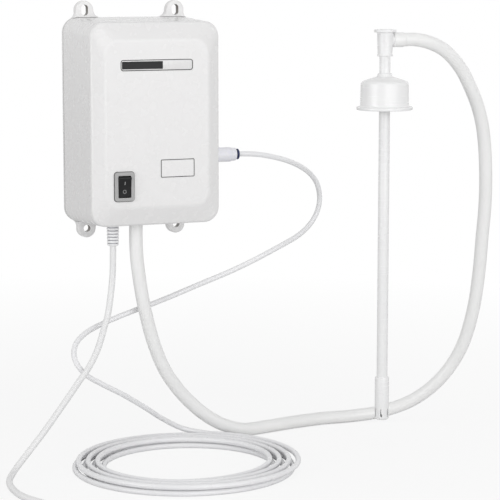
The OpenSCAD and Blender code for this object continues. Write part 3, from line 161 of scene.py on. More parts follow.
# %% Helpers for node groups
def start_group(name, inputs, outputs):
    group = bpy.data.node_groups.new(name, "ShaderNodeTree")
    for socket, value in inputs.items():
        kind = "NodeSocketFloat" if isinstance(value, float) else "NodeSocketColor"
        made = group.interface.new_socket(socket, in_out="INPUT", socket_type=kind)
        made.default_value = value
    for socket in outputs:
        kind = "NodeSocketColor" if socket == "Colour" else "NodeSocketFloat"
        group.interface.new_socket(socket, in_out="OUTPUT", socket_type=kind)
    return group, add_node(group, "NodeGroupInput"), add_node(group, "ShaderNodeTexCoord")["Object"]


def start_skin(name, scales):
    look = {"Pale": (0.8, 0.8, 0.8, 1), "Deep": (0.7, 0.7, 0.7, 1), "Smooth": 0.25, "Rough": 0.4}
    return start_group(name, {**look, **scales}, ("Colour", "Roughness", "Height"))


def end_skin(group, given, mask, height):
    leave = {
        "Colour": blend(group, mask, given["Pale"], given["Deep"]),
        "Roughness": stretch(group, mask, 0.0, 1.0, given["Smooth"], given["Rough"]),
        "Height": height,
    }
    add_node(group, "NodeGroupOutput", leave)
    print(f"{group.name}: {len(group.nodes)} nodes")
    return group


print("group helpers ready")

# %% [markdown]
# ## Moulded skin
# Nearly everything here is moulded plastic or rubber. Its colour drifts a little where the melt flowed,
# its gloss varies in the same patches, and the mould leaves a very fine grain. That could be painted for
# each piece. One node group with named inputs gives all of them the effect at their own scale.

# %% Node group: moulded skin
def make_moulded_skin():
    group, given, where = start_skin("moulded_skin", {"Grain": 900.0, "Patch": 22.0})
    grain = noise(group, where, given["Grain"], 2.0)
    flow = stretch(group, noise(group, where, given["Patch"], 3.0), 0.25, 0.75)
    return end_skin(group, given, flow, grain)


moulded_skin = make_moulded_skin()

# %% [markdown]
# ## Drawn and turned metal
# The motor can, the screws and the plug's pins are drawn or turned, so fine lines run along them.
# Anisotropic gloss would need a direction for every piece. Noise that is squeezed across and stretched
# along one axis gives the lines from any side.

# %% Node group: drawn metal
def make_drawn_metal():
    group, given, where = start_skin("drawn_metal", {"Lines": 2600.0})
    along = add_node(group, "ShaderNodeMapping", {"Vector": where, "Scale": (1.0, 1.0, 0.02)})[0]
    lines = noise(group, along, given["Lines"], 3.0)
    dull = stretch(group, noise(group, where, 70.0, 3.0), 0.35, 0.7)
    return end_skin(group, given, dull, lines)


drawn_metal = make_drawn_metal()

# %% [markdown]
# ## Layers of wire
# The copper windings of the motor and of the transformer show even thin layers. Hundreds of modelled
# wires would be heavy, so a wave texture draws them as bands with dark gaps between.

# %% Node group: thin layers
def make_thin_layers():
    group, given, where = start_skin("thin_layers", {"Bands": 300.0})
    band = {"Vector": where, "Scale": given["Bands"], "Distortion": 0.6, "Detail": 1.0, "Detail Scale": 0.4}
    wave = add_node(group, "ShaderNodeTexWave", band, bands_direction="Z")["Fac"]
    return end_skin(group, given, stretch(group, wave, 0.35, 0.02), wave)


thin_layers = make_thin_layers()

# %% [markdown]
# ## Handling marks
# A pump that hangs in a kitchen gets faint rubs and hairline scratches, which show only in its gloss.
# They are noise in two stretched directions, cut off so that only the crests are left.

# %% Node group: handling marks
def make_handling_marks():
    group, given, where = start_group("handling_marks", {"Amount": 0.5}, ("Mask",))
    crests = []
    for turn in (0.5, -0.9):
        placed = {"Vector": where, "Rotation": (turn, turn, turn), "Scale": (30.0, 30.0, 700.0)}
        swept = add_node(group, "ShaderNodeMapping", placed)[0]
        crests.append(stretch(group, noise(group, swept, 1.0, 2.0), 0.62, 0.74))
    mask = maths(group, "MULTIPLY", maths(group, "MAXIMUM", *crests), given["Amount"])
    add_node(group, "NodeGroupOutput", {"Mask": mask})
    print(f"{group.name}: {len(group.nodes)} nodes")
    return group


handling_marks = make_handling_marks()

# %% [markdown]
# ## From groups to materials
# A material is a Principled shader that takes its colour, gloss and bump from one of the groups. Values
# that are the same all over, such as the coat or the metal's weight, are set on the shader itself. Where
# a piece marks faces in its recesses, the material blends in a darker colour there as painted shade.

# %% Material maker
BUMP_STRENGTH = 0.5
finishes = {}


def finish(slot, group, pale, deep, smooth, rough, bump, scales, shader=None, marks=0.0, dust=None):
    material = bpy.data.materials.new(slot)
    material.use_nodes = True
    tree = material.node_tree
    look = {"Pale": (*pale, 1), "Deep": (*deep, 1), "Smooth": smooth, "Rough": rough, **scales}
    effect = add_node(tree, "ShaderNodeGroup", look, node_tree=group)
    colour, gloss = effect["Colour"], effect["Roughness"]
    # Painted shade: marked faces in recesses blend towards a darker colour.
    if dust:
        shade_share = add_node(tree, "ShaderNodeAttribute", attribute_name="dust")["Fac"]
        colour = blend(tree, shade_share, colour, (*dust, 1))
    if marks:
        rubs = add_node(tree, "ShaderNodeGroup", {"Amount": marks}, node_tree=handling_marks)
        gloss = maths(tree, "ADD", gloss, rubs["Mask"], use_clamp=True)
    raised = {"Height": effect["Height"], "Strength": BUMP_STRENGTH, "Distance": bump}
    relief = add_node(tree, "ShaderNodeBump", raised)[0]
    surface = {"Base Color": colour, "Roughness": gloss, "Normal": relief, **(shader or {})}
    fill(tree, tree.nodes["Principled BSDF"], surface)
    finishes[slot] = material


def plastic(slot, pale, deep, smooth, rough, bump, grain, patch, **more):
    finish(slot, moulded_skin, pale, deep, smooth, rough, bump, {"Grain": grain, "Patch": patch}, **more)


def cloudy(weight, *reach):
    return {"Subsurface Weight": weight, "Subsurface Radius": reach}


print("material makers ready")

# %% [markdown]
# ## White and pale plastics
# The case is glossy white ABS, the fitting is a cooler white with a hint of lavender, and the wand is a
# brighter polyethylene that lets a little light in. Whites that differ a little look more real than one.
# They lie between 0.8 and 0.9, because white plastic sends back most of the light and never all of it.

# %% White and pale plastics
# The colours given last to case_white and relief_white are painted shade for recesses.
plastic("case_white", (0.815, 0.81, 0.81), (0.805, 0.8, 0.8), 0.25, 0.29, 1e-5, 1500, 70,
        dust=(0.2, 0.175, 0.15))
plastic("fitting_pale", (0.84, 0.84, 0.88), (0.81, 0.81, 0.86), 0.22, 0.3, 2e-5, 1200, 60,
        shader=cloudy(0.15, 0.004, 0.004, 0.005))
plastic("relief_white", (0.9, 0.9, 0.91), (0.875, 0.875, 0.885), 0.4, 0.52, 3e-5, 900, 50, marks=0.1,
        dust=(0.46, 0.46, 0.49))
plastic("wand_white", (0.88, 0.88, 0.88), (0.86, 0.86, 0.865), 0.22, 0.3, 2e-5, 1000, 35,
        shader=cloudy(0.2, 0.005, 0.005, 0.005), marks=0.05)
plastic("hose_white", (0.9, 0.9, 0.895), (0.875, 0.875, 0.87), 0.28, 0.38, 3e-5, 700, 26,
        shader=cloudy(0.25, 0.006, 0.006, 0.006))
plastic("lead_white", (0.85, 0.85, 0.85), (0.825, 0.825, 0.83), 0.3, 0.4, 2e-5, 900, 40)
plastic("pump_natural", (0.72, 0.69, 0.6), (0.64, 0.61, 0.52), 0.35, 0.5, 3e-5, 800, 60)
plastic("tube_milky", (0.87, 0.87, 0.88), (0.84, 0.84, 0.855), 0.24, 0.34, 1e-5, 500, 40,
        shader={"IOR": 1.46})
print(f"{len(finishes)} pale finishes")

# %% [markdown]
# ## Dark plastics, rubber and the board
# The rocker is satin black, the collet is navy, and the seals are soft rubber with a duller skin. Even
# the blacks send back one to five hundredths of the light, so that they still show their form.

# %% Dark plastics, rubber and the board
dull_black = {"Specular IOR Level": 0.25}
plastic("rocker_black", (0.012, 0.012, 0.013), (0.016, 0.016, 0.017), 0.3, 0.4, 4e-5, 1600, 80,
        shader=dull_black, marks=0.06)
plastic("switch_grey", (0.43, 0.43, 0.43), (0.38, 0.38, 0.38), 0.34, 0.46, 4e-5, 1600, 60, marks=0.1)
plastic("collet_navy", (0.022, 0.035, 0.12), (0.016, 0.025, 0.09), 0.28, 0.4, 2e-5, 1200, 90)
plastic("gasket_grey", (0.22, 0.22, 0.22), (0.17, 0.17, 0.17), 0.6, 0.8, 8e-5, 1400, 60)
plastic("seal_black", (0.02, 0.02, 0.02), (0.035, 0.035, 0.034), 0.5, 0.7, 6e-5, 1300, 90)
plastic("pump_dark", (0.032, 0.032, 0.034), (0.05, 0.05, 0.05), 0.4, 0.56, 6e-5, 900, 50, marks=0.1)
plastic("part_black", (0.012, 0.012, 0.013), (0.018, 0.018, 0.019), 0.4, 0.5, 4e-5, 1500, 120,
        shader=dull_black)
plastic("wire_red", (0.5, 0.02, 0.02), (0.4, 0.015, 0.015), 0.35, 0.5, 3e-5, 1200, 90)
plastic("board_green", (0.02, 0.16, 0.06), (0.03, 0.22, 0.09), 0.25, 0.4, 3e-5, 420, 260,
        shader={"Coat Weight": 0.3})
plastic("magnet_dark", (0.07, 0.07, 0.075), (0.1, 0.1, 0.1), 0.5, 0.7, 8e-5, 1100, 90)
print(f"{len(finishes)} finishes so far")

# %% [markdown]
# ## Metals and windings
# Steel, brass and bronze share the drawn-metal group and differ in colour. The copper windings use the
# thin layers.

# %% Metals and windings
FINE_BUMP, WIRE_BUMP = 2e-5, 1e-4
bare = {"Metallic": 1.0}
finish("motor_steel", drawn_metal, (0.56, 0.57, 0.58), (0.46, 0.47, 0.48), 0.22, 0.4, FINE_BUMP, {}, bare)
finish("screw_steel", drawn_metal, (0.6, 0.6, 0.6), (0.48, 0.48, 0.48), 0.2, 0.38, FINE_BUMP,
       {"Lines": 4200}, bare)
finish("terminal_brass", drawn_metal, (0.72, 0.52, 0.22), (0.6, 0.42, 0.16), 0.22, 0.4, FINE_BUMP, {}, bare)
finish("bronze", drawn_metal, (0.55, 0.36, 0.18), (0.44, 0.28, 0.13), 0.3, 0.5, FINE_BUMP, {}, bare)
finish("copper", thin_layers, (0.78, 0.36, 0.2), (0.3, 0.11, 0.06), 0.28, 0.5, WIRE_BUMP, {}, bare)
wanted = {part["material_slot"] for part in subparts}
print(f"{len(finishes)} finishes, missing: {sorted(wanted - set(finishes))}")

# %% [markdown]
# ## From a shape to a piece
# A new piece starts as a bmesh in millimetres, as the part's own source is written. This helper merges
# its doubles, points its faces outwards, scales it to metres and marks edges sharper than an angle. Then
# the piece rides on its body and takes its finish, and the node that it replaces is hidden.

# %% A helper that makes a piece
MERGE = 0.002


def as_mesh(shape, name="helper"):
    mesh = bpy.data.meshes.new(name)
    shape.to_mesh(mesh)
    shape.free()
    return mesh


def make_piece(name, shape, slot, node=None, angle=32.0, body="case", even=False):
    bmesh.ops.remove_doubles(shape, verts=shape.verts, dist=MERGE)
    bmesh.ops.recalc_face_normals(shape, faces=shape.faces)
    bmesh.ops.scale(shape, vec=(MM, MM, MM), verts=shape.verts)
    mesh = as_mesh(shape, name)
    mesh.shade_smooth()
    mesh.set_sharp_from_angle(angle=math.radians(angle))
    mesh.materials.append(finishes[slot])
    piece = add_object(name, mesh)
    if even:
        level = piece.modifiers.new("even_shading", "WEIGHTED_NORMAL")
        level.keep_sharp = True
    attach(piece, body)
    if node:
        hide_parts(node)
    print(f"{name}: {len(mesh.polygons)} faces")
    return piece


# %% [markdown]
# ## The cords: one curve for each
# The suction hose, the discharge tube and the mains lead are bent tubes of one thickness. A mesh tube
# could be lofted ring by ring. A Bezier curve with a round bevel is simpler and stays smooth. Each knot's
# handles point along the line between its neighbours, a sixth of it long, which makes the same even curve
# as in the part's source.

# %% A helper that lays a cord
def lay_cord(name, route, radius, slot, fine):
    curve = bpy.data.curves.new(name, "CURVE")
    curve.dimensions = "3D"
    curve.bevel_depth = radius * MM
    curve.bevel_resolution = 5
    curve.resolution_u = fine
    curve.use_fill_caps = True
    spline = curve.splines.new("BEZIER")
    spline.bezier_points.add(len(route) - 1)
    points = [Vector(place) * MM for place in route]
    last = len(points) - 1
    for index, knot in enumerate(spline.bezier_points):
        slope = (points[min(index + 1, last)] - points[max(index - 1, 0)]) / 6
        knot.co = points[index]
        knot.handle_left = points[index] - slope
        knot.handle_right = points[index] + slope
    curve.materials.append(finishes[slot])
    cord = add_object(name, curve)
    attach(cord, "case")
    print(f"{name}: {len(points)} knots, {spline.calc_length():.3f} m")
    return cord


# %% [markdown]
# ## Suction hose
# The thick hose leaves the bottom of the case, sinks to the floor, runs behind the wand's foot and climbs
# in one wide arc to the tee at the wand's top. It is stiff, so its bends are wide.

# %% Suction hose
HOSE_WIDE = 16.0
hose_route = (
    (-12, -58, -107), (-12, -58, -150), (-9, -58, -182), (-2, -57, -222), (10, -55, -266), (24, -53, -299),
    (40, -51, -323), (58, -50, -343.5), (79, -49, -362), (104, -48, -377), (132, -45, -385.5),
    (164, -38, -386.5), (202, -29, -386.5), (246, -23, -386.5), (290, -24, -386.5), (328, -32, -382),
    (364, -48, -367), (392, -68, -338), (411, -86, -298), (420, -99, -250), (423, -108, -200),
    (423, -115, -153), (423, -121, -112), (420, -127, -70), (413, -133, -24), (402, -139, 9), (386, -145, 38),
    (369.5, -150, 61), (347.5, -155.5, 80.5), (325, -159, 91), (303.5, -160, 95.5), (288.5, -160, 95.5),
)
hose = lay_cord("suction_hose_run", hose_route, HOSE_WIDE / 2, "hose_white", 10)
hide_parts("suction_hose")

# %% [markdown]
# ## Coils
# The spare tube lies on the floor as a flat coil of two layers: it winds inwards, climbs one thickness in
# half a turn, and winds back out. This helper walks round the coil and gives a knot every 15 degrees, so
# that the curve stays round.

# %% A helper that winds a coil
KNOTS_A_TURN = 24


def wind_coil(centre, turns, radius, step, start, way, rise, lead_in, tail):
    full = 2 * turns + 0.5
    count = round(KNOTS_A_TURN * full)

    def place(s):
        angle = math.radians(start + way * 360 * s)
        out = radius - step * (full / 2 - abs(s - full / 2))
        climb = 0.0 if s < turns else 1.0
        if turns <= s < turns + 0.5:
            climb = (1 - math.cos(math.tau * (s - turns))) / 2
        return Vector(centre) + Vector((out * math.cos(angle), out * math.sin(angle), rise * climb))

    def heading(s):
        angle = math.radians(start + way * 360 * s)
        return way * Vector((-math.sin(angle), math.cos(angle), 0))

    knots = [place(full * index / count) for index in range(count + 1)]
    return [knots[0] - lead_in * heading(0), *knots, knots[-1] + tail * heading(full)]


print(f"a coil has {KNOTS_A_TURN} knots a turn")

# %% [markdown]
# ## Discharge tube
# The tube is milky polyethylene with a wall of about a millimetre. It leaves the collet at the side,
# swings back under the box in a wide S and ends in the coil on the floor. A Solidify modifier gives it
# its wall, so that its open end is a real tube. The curve is then turned into a mesh, and its middle line
# is kept as the cord's path.

# %% Discharge tube
TUBE_WIDE, TUBE_WALL = 6.35, 1.0
tube_run = (
    (98.82, -58, -42.5), (124.02, -58, -42.5), (145, -57, -44), (166, -54, -48), (188, -47, -54),
    (208, -38, -62), (226, -28, -72), (240, -20, -86), (246, -16, -104), (243, -16, -122), (232, -18, -138),
    (214, -24, -150), (192, -30, -159), (172, -33, -167), (150, -35, -176), (115, -37, -189), (74, -39, -202),
    (41, -40, -213), (12, -41, -222), (-10, -42, -228), (-47, -45.5, -239), (-73, -48, -250),
    (-89, -57.5, -262), (-93, -69, -277), (-84.5, -80.5, -292.5), (-65.5, -85.5, -305), (-36, -79, -322),
    (-4, -64.5, -343), (22.5, -48, -361.5), (52.5, -41, -378.5),
)
tube_coil = wind_coil((10, -165, -384.475), 3.25, 132, 11, 50, -1, -7.35, TUBE_WIDE, TUBE_WIDE)
into_coil = (tube_coil[1] - tube_coil[0]).normalized()
tube_route = [*tube_run, tube_coil[0] - 2 * TUBE_WIDE * into_coil, *tube_coil]
laid = lay_cord("discharge_tube", tube_route, TUBE_WIDE / 2, "tube_milky", 4)
laid.data.use_fill_caps = False
wall = laid.modifiers.new("tube_wall", "SOLIDIFY")
wall.thickness = TUBE_WALL * MM
wall.offset = -1
bpy.context.view_layer.update()
knots = laid.data.splines[0].bezier_points
tube_path = []
for first, second in zip(knots, knots[1:]):
    bend = geometry.interpolate_bezier(first.co, first.handle_right, second.handle_left, second.co, 5)
    tube_path += bend[:-1]
tube_path.append(knots[-1].co.copy())
tube_mesh = bpy.data.meshes.new_from_object(laid.evaluated_get(bpy.context.evaluated_depsgraph_get()))
bpy.data.objects.remove(laid)
tube = add_object("discharge_tube", tube_mesh)
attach(tube, "case")
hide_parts("outlet_tube", "outlet_tube_coil")
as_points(tube_path)
print(f"discharge_tube: {len(tube_mesh.polygons)} faces")

# %% [markdown]
# ## Mains lead
# The round white lead hangs from its gland at the bottom, curves to the left and runs out of the picture
# along the floor. The rest of it is wound up in a small coil outside the view, held by a tie, with its
# plug beside it.

# %% Mains lead
LEAD_WIDE = 7.5
lead_run = (
    (-41, -58, -107.62), (-41, -58, -153.42), (-43, -60, -186), (-50, -66, -222), (-57, -71, -240),
    (-68, -79, -264), (-82, -88, -283), (-96, -95, -297), (-116, -105, -317), (-146, -117, -348),
    (-171, -126, -372), (-189, -139, -386), (-201, -163, -390.5), (-206, -198, -391), (-204, -230, -391),
    (-194, -258, -391), (-182, -288, -391), (-174, -322, -390.5), (-171.5, -350, -390),
    (-171, -381.5, -389.85),
)
lead_coil = wind_coil((-119, -404, -389.85), 1.75, 52, 8.5, 180, 1, 8.5, LEAD_WIDE, 26)
lead = lay_cord("mains_lead", [*lead_run, *lead_coil], LEAD_WIDE / 2, "lead_white", 5)
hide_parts("power_lead", "power_lead_coil")

# %% [markdown]
# ## Shapes to start from
# Most pieces are a box with rounded corners, a rod, or a turned shape. Each helper starts from one of
# bmesh's own shapes or from a few corners, and leaves the edges to a bevel.

# %% Helpers for boxes and rods
def block(low, high):
    low, high = Vector(low), Vector(high)
    shape = bmesh.new()
    sized = Matrix.Translation((low + high) / 2) @ Matrix.Diagonal((*(high - low), 1))
    bmesh.ops.create_cube(shape, size=1, matrix=sized)
    return shape


def edges_along(shape, axis):
    ways = {edge: (edge.verts[1].co - edge.verts[0].co).normalized() for edge in shape.edges}
    return [edge for edge, way in ways.items() if abs(way[axis]) > 0.99]


def edges_on(shape, axis, at):
    return [edge for edge in shape.edges if all(abs(vert.co[axis] - at) < 0.01 for vert in edge.verts)]


def soften(shape, edges, width, segments=4, affect="EDGES"):
    bmesh.ops.bevel(shape, geom=edges, offset=width, offset_type="OFFSET", segments=segments, profile=0.5,
                    affect=affect, material=-1)


def slab(width, height, back, front, corner, segments=10):
    shape = block((-width / 2, -front, -height / 2), (width / 2, -back, height / 2))
    soften(shape, edges_along(shape, 1), corner, segments)
    return shape


def rod(start, end, radius, end_radius=None, segments=48):
    start, end = Vector(start), Vector(end)
    way = end - start
    shape = bmesh.new()
    stood = Matrix.Translation((start + end) / 2) @ way.to_track_quat("Z", "Y").to_matrix().to_4x4()
    bmesh.ops.create_cone(shape, cap_ends=True, segments=segments, radius1=radius, depth=way.length,
                          radius2=radius if end_radius is None else end_radius, matrix=stood)
    return shape


def moved(shape, offset):
    bmesh.ops.translate(shape, vec=offset, verts=shape.verts)
    return shape


print("boxes and rods ready")

# %% [markdown]
# Turned pieces, such as the fitting and the cap, are a profile spun round an axis. The profile is a ring
# of corners, each with a radius, a height and the rounding of its corner, and a vertex bevel rounds them
# before the spin.

# %% A helper for turned shapes
def turned(profile, at=(0, 0, 0), way=(0, 0, 1), steps=72):
    shape = bmesh.new()
    corners = [shape.verts.new((radius, 0, height)) for radius, height, rounding in profile]
    shape.faces.new(corners)
    for corner, (radius, height, rounding) in zip(corners, profile):
        if rounding:
            soften(shape, [corner], rounding, affect="VERTICES")
    bmesh.ops.delete(shape, geom=shape.faces[:], context="FACES_ONLY")
    on_axis = [edge for edge in shape.edges if all(abs(vert.co.x) < 1e-6 for vert in edge.verts)]
    bmesh.ops.delete(shape, geom=on_axis, context="EDGES")
    outline = shape.verts[:] + shape.edges[:]
    bmesh.ops.spin(shape, geom=outline, cent=(0, 0, 0), axis=(0, 0, 1), angle=math.tau, steps=steps,
                   use_merge=True)
    bmesh.ops.remove_doubles(shape, verts=shape.verts, dist=MERGE)
    bmesh.ops.recalc_face_normals(shape, faces=shape.faces)
    stood = Vector((0, 0, 1)).rotation_difference(Vector(way)).to_matrix().to_4x4()
    bmesh.ops.transform(shape, matrix=Matrix.Translation(at) @ stood, verts=shape.verts)
    return shape


print("turned shapes ready")

# %% [markdown]
# A case with pads, bosses and holes is easiest as a few simple solids that are joined and cut. The
# Boolean modifier does that on objects, so this helper makes short-lived objects, reads the result back
# and removes them.

# %% Helpers that join and cut
def combine(base, others, operation):
    helpers = [add_object("helper", as_mesh(shape)) for shape in [base, *others]]
    for tool in helpers[1:]:
        step = helpers[0].modifiers.new("step", "BOOLEAN")
        step.operation = operation
        step.solver = "EXACT"
        step.object = tool
    result = bmesh.new()
    result.from_object(helpers[0], bpy.context.evaluated_depsgraph_get())
    for helper in helpers:
        mesh = helper.data
        bpy.data.objects.remove(helper)
        bpy.data.meshes.remove(mesh)
    return result


def join(base, others):
    return combine(base, others, "UNION")


def cut(base, others):
    return combine(base, others, "DIFFERENCE")


def gather(shapes):
    whole = bmesh.new()
    for shape in shapes:
        mesh = as_mesh(shape)
        whole.from_mesh(mesh)
        bpy.data.meshes.remove(mesh)
    return whole


print("joining and cutting ready")

# %% [markdown]
# ## The moulded cover
# The white cover is one moulding. Its sides lean in a little so that it leaves its mould, a sloped border
# leads to a raised front panel, and every edge is soft. A box with rounded corners, an outline spread at
# its back and drawn in at its panel gives that form. The same form, set in by the wall, hollows it out.

# %% The case's form
RIM_WIDE, RIM_HIGH, RIM_DEPTH = 166.0, 243.0, 6.0
EDGE_WIDE, EDGE_HIGH, RIDGE_DEPTH = 158.0, 236.0, 96.3
CASE_DEPTH, CORNER, WALL = 104.0, 18.0, 2.8
BORDER_WIDE, BORDER_HIGH = 15.0, 21.0
RIDGE_SOFT, PANEL_SOFT = 2.8, 2.6


def spread(shape, verts, wide, high):
    for vert in verts:
        step = (wide * math.copysign(1, vert.co.x), 0, high * math.copysign(1, vert.co.z))
        bmesh.ops.translate(shape, vec=step, verts=[vert])


def case_form(inset, back):
    ridge, top = RIDGE_DEPTH - inset, CASE_DEPTH - inset
    form = slab(EDGE_WIDE - 2 * inset, EDGE_HIGH - 2 * inset, back, ridge, CORNER - inset, 12)
    rim = [vert for vert in form.verts if vert.co.y > -ridge / 2]
    spread(form, rim, (RIM_WIDE - EDGE_WIDE) / 2, (RIM_HIGH - EDGE_HIGH) / 2)
    front = min(form.faces, key=lambda face: face.calc_center_median().y)
    panel = bmesh.ops.extrude_discrete_faces(form, faces=[front])["faces"][0]
    spread(form, panel.verts, -BORDER_WIDE, -BORDER_HIGH)
    bmesh.ops.translate(form, vec=(0, ridge - top, 0), verts=panel.verts)
    soften(form, edges_on(form, 1, -ridge), RIDGE_SOFT, 6)
    soften(form, edges_on(form, 1, -top), PANEL_SOFT, 4)
    return form


print(f"a border slopes {CASE_DEPTH - RIDGE_DEPTH:.1f} mm up to the panel")

# %% [markdown]
# Round pads stand out where the fitting, the lead and the hose leave the case, and four bosses inside
# take the cover screws. They are joined to the shell, and the holes are cut last, so that they go through
# both.

# %% Front cover
PORT_DEPTH = 58.0
OUT_FACE, OUT_UP = 84.02, -42.5
LOW_FACE = -120.42
GLAND_ACROSS, HOSE_ACROSS = -41.0, -12.0
SIDE_PAD, LOW_PAD = 13.0, 11.5
THREAD_HOLE, HOSE_HOLE = 6.3, 8.2
SWITCH_ACROSS, SWITCH_UP = -42.0, -71.0
ROOM_ACROSS, ROOM_UP = 9.5, 14.4
SCREW_ACROSS, SCREW_UP = 68.0, 106.5
BOSS_ROUND, BOSS_END = 4.5, 98.2
screw_places = [(side * SCREW_ACROSS, up * SCREW_UP) for side in (-1, 1) for up in (-1, 1)]


def pad(base, face, radius, soft):
    base, face = Vector(base), Vector(face)
    long = (face - base).length
    profile = ((0, 0, 0), (radius, 0, 0), (radius, long, soft), (0, long, 0))
    return turned(profile, base, (face - base).normalized(), 56)


switch_low = (SWITCH_ACROSS - ROOM_ACROSS, -110, SWITCH_UP - ROOM_UP)
switch_high = (SWITCH_ACROSS + ROOM_ACROSS, -95, SWITCH_UP + ROOM_UP)
raised = [pad((74, -PORT_DEPTH, OUT_UP), (OUT_FACE, -PORT_DEPTH, OUT_UP), SIDE_PAD, 1.6)]
side_hole = rod((60, -PORT_DEPTH, OUT_UP), (90, -PORT_DEPTH, OUT_UP), THREAD_HOLE)
cuts = [block(switch_low, switch_high), side_hole]
for across, hole in ((GLAND_ACROSS, THREAD_HOLE), (HOSE_ACROSS, HOSE_HOLE)):
    raised.append(pad((across, -PORT_DEPTH, -114), (across, -PORT_DEPTH, LOW_FACE), LOW_PAD, 0.8))
    cuts.append(rod((across, -PORT_DEPTH, -100), (across, -PORT_DEPTH, -125), hole))
for x, z in screw_places:
    raised.append(rod((x, -RIM_DEPTH, z), (x, -BOSS_END, z), BOSS_ROUND, segments=32))
    cuts.append(rod((x, -RIM_DEPTH + 1, z), (x, -RIM_DEPTH - 14, z), 1.5, segments=24))
cover = cut(case_form(0, RIM_DEPTH), [case_form(WALL, RIM_DEPTH - 1)])
cover = cut(join(cover, raised), cuts)
make_piece("front_cover_shell", cover, "case_white", "front_cover", 28, even=True)

# %% [markdown]
# ## Back plate with wall ears
# The plate screws to the back of the cover, and four ears on it hang the pump on the wall. Each ear is a
# round hump that flows into the plate in two hollow curves, one to the straight edge and one to the
# plate's round corner. A hollow touches two other circles, so its centre is where two wider circles
# cross.

# %% Circles of a wall ear
PLATE_THICK, EAR_THICK = 5.0, 9.0
EAR_ACROSS, EAR_RISE, EAR_ROUND, EAR_HALF = 57.0, 8.5, 11.0, 20.0
HOLE_ROUND, SLOT_LONG = 4.2, 13.0
hole_up = RIM_HIGH / 2 + EAR_RISE
hollow = (EAR_HALF**2 - EAR_ROUND**2 + EAR_RISE**2) / (2 * (EAR_ROUND + EAR_RISE))
inner_hollow = Vector((-EAR_HALF, hollow - EAR_RISE))
corner_middle = Vector((RIM_WIDE / 2 - CORNER - EAR_ACROSS, -CORNER - EAR_RISE))
crossings = geometry.intersect_sphere_sphere_2d((0, 0), EAR_ROUND + hollow, corner_middle, CORNER + hollow)
outer_hollow = max(crossings, key=lambda point: point.x)
print(f"the hollows beside an ear have a radius of {hollow:.1f} mm")

# %% [markdown]
# The ear and, later, the rocker are outlines with arcs that are closed and thickened. One helper spins a
# corner round a centre and gives its last copy. The other adds the straight edges, fills the outline and
# extrudes it.

# %% Helpers for outlines with arcs
def sweep(shape, corner, angle, steps, axis, centre=(0, 0, 0)):
    spun = bmesh.ops.spin(shape, geom=[corner], cent=centre, axis=axis, angle=angle, steps=steps)
    return next(part for part in spun["geom_last"] if isinstance(part, bmesh.types.BMVert))


def close_and_thicken(shape, pairs, step):
    for pair in pairs:
        shape.edges.new(pair)
    bmesh.ops.contextual_create(shape, geom=shape.edges[:])
    grown = bmesh.ops.extrude_face_region(shape, geom=shape.faces[:])["geom"]
    risen = [part for part in grown if isinstance(part, bmesh.types.BMVert)]
    bmesh.ops.translate(shape, vec=step, verts=risen)
    bmesh.ops.recalc_face_normals(shape, faces=shape.faces)


print("outline helpers ready")

# %% [markdown]
# The ear's outline is three arcs. One corner is spun round the centre of the first hollow, its last copy
# is spun round the hump, and the last copy of that round the other hollow. Straight edges inside the
# plate close it, and its front edge is rounded. The other ears are mirror images.

# %% One wall ear
EAR_SOFT = 1.2


def clock(way):
    return math.atan2(way.x, way.y)


def wall_ear(side, up):
    shape = bmesh.new()
    first = tip = shape.verts.new((-EAR_HALF, 0, -EAR_RISE))
    arcs = (
        (inner_hollow, clock(-inner_hollow) - math.pi, 8),
        (Vector((0, 0)), clock(outer_hollow) - clock(inner_hollow), 24),
        (outer_hollow, clock(corner_middle - outer_hollow) - clock(-outer_hollow), 8),
    )
    for centre, angle, steps in arcs:
        tip = sweep(shape, tip, angle, steps, (0, 1, 0), (centre.x, 0, centre.y))
    inside = [shape.verts.new((x, 0, -EAR_RISE - 6)) for x in (corner_middle.x, -EAR_HALF)]
    close_and_thicken(shape, ((tip, inside[0]), inside, (inside[1], first)), (0, -EAR_THICK, 0))
    soften(shape, edges_on(shape, 1, -EAR_THICK), EAR_SOFT, 3)
    moved(shape, (EAR_ACROSS, 0, hole_up))
    bmesh.ops.scale(shape, vec=(side, 1, up), verts=shape.verts)
    bmesh.ops.recalc_face_normals(shape, faces=shape.faces)
    return shape


print(f"an ear stands {EAR_RISE + EAR_ROUND:.1f} mm above the plate")

# %% [markdown]
# A lip on the plate locates the cover, short studs carry the pump's bracket and the transformer, and
# posts carry the board.

# %% Studs, posts and lip
LIP_WIDE, LIP_HIGH, LIP_THICK, LIP_CORNER = 158.2, 235.3, 2.0, 14.3
STUD_LONG, STUD_ROUND, POST_LONG, POST_ROUND = 4.0, 6.0, 8.0, 3.5
studs = [(6.0 + across, -0.5 + up, STUD_LONG, STUD_ROUND) for across in (-33, 33) for up in (-32, 32)]
studs += [(-38.0 + across, 84.0, STUD_LONG, STUD_ROUND) for across in (-32, 32)]
studs += [(27.0 + across, 87.0 + up, POST_LONG, POST_ROUND) for across in (-23, 23) for up in (-19, 19)]
inner_side = []
for x, z, high, radius in studs:
    inner_side.append(rod((x, -PLATE_THICK + 1, z), (x, -PLATE_THICK - high, z), radius))
lip = slab(LIP_WIDE, LIP_HIGH, PLATE_THICK - 1, PLATE_THICK + 5, LIP_CORNER)
lip_room = slab(LIP_WIDE - 2 * LIP_THICK, LIP_HIGH - 2 * LIP_THICK, PLATE_THICK - 2, PLATE_THICK + 6,
                LIP_CORNER - LIP_THICK)
inner_side.append(cut(lip, [lip_room]))
print(f"{len(studs)} studs and posts, and a lip")

# %% [markdown]
# The ears are cut where the cover stands in front of them, and joined to the plate. Last come the ears'
# holes, two of them long, and the screw holes with round recesses that open at the back.

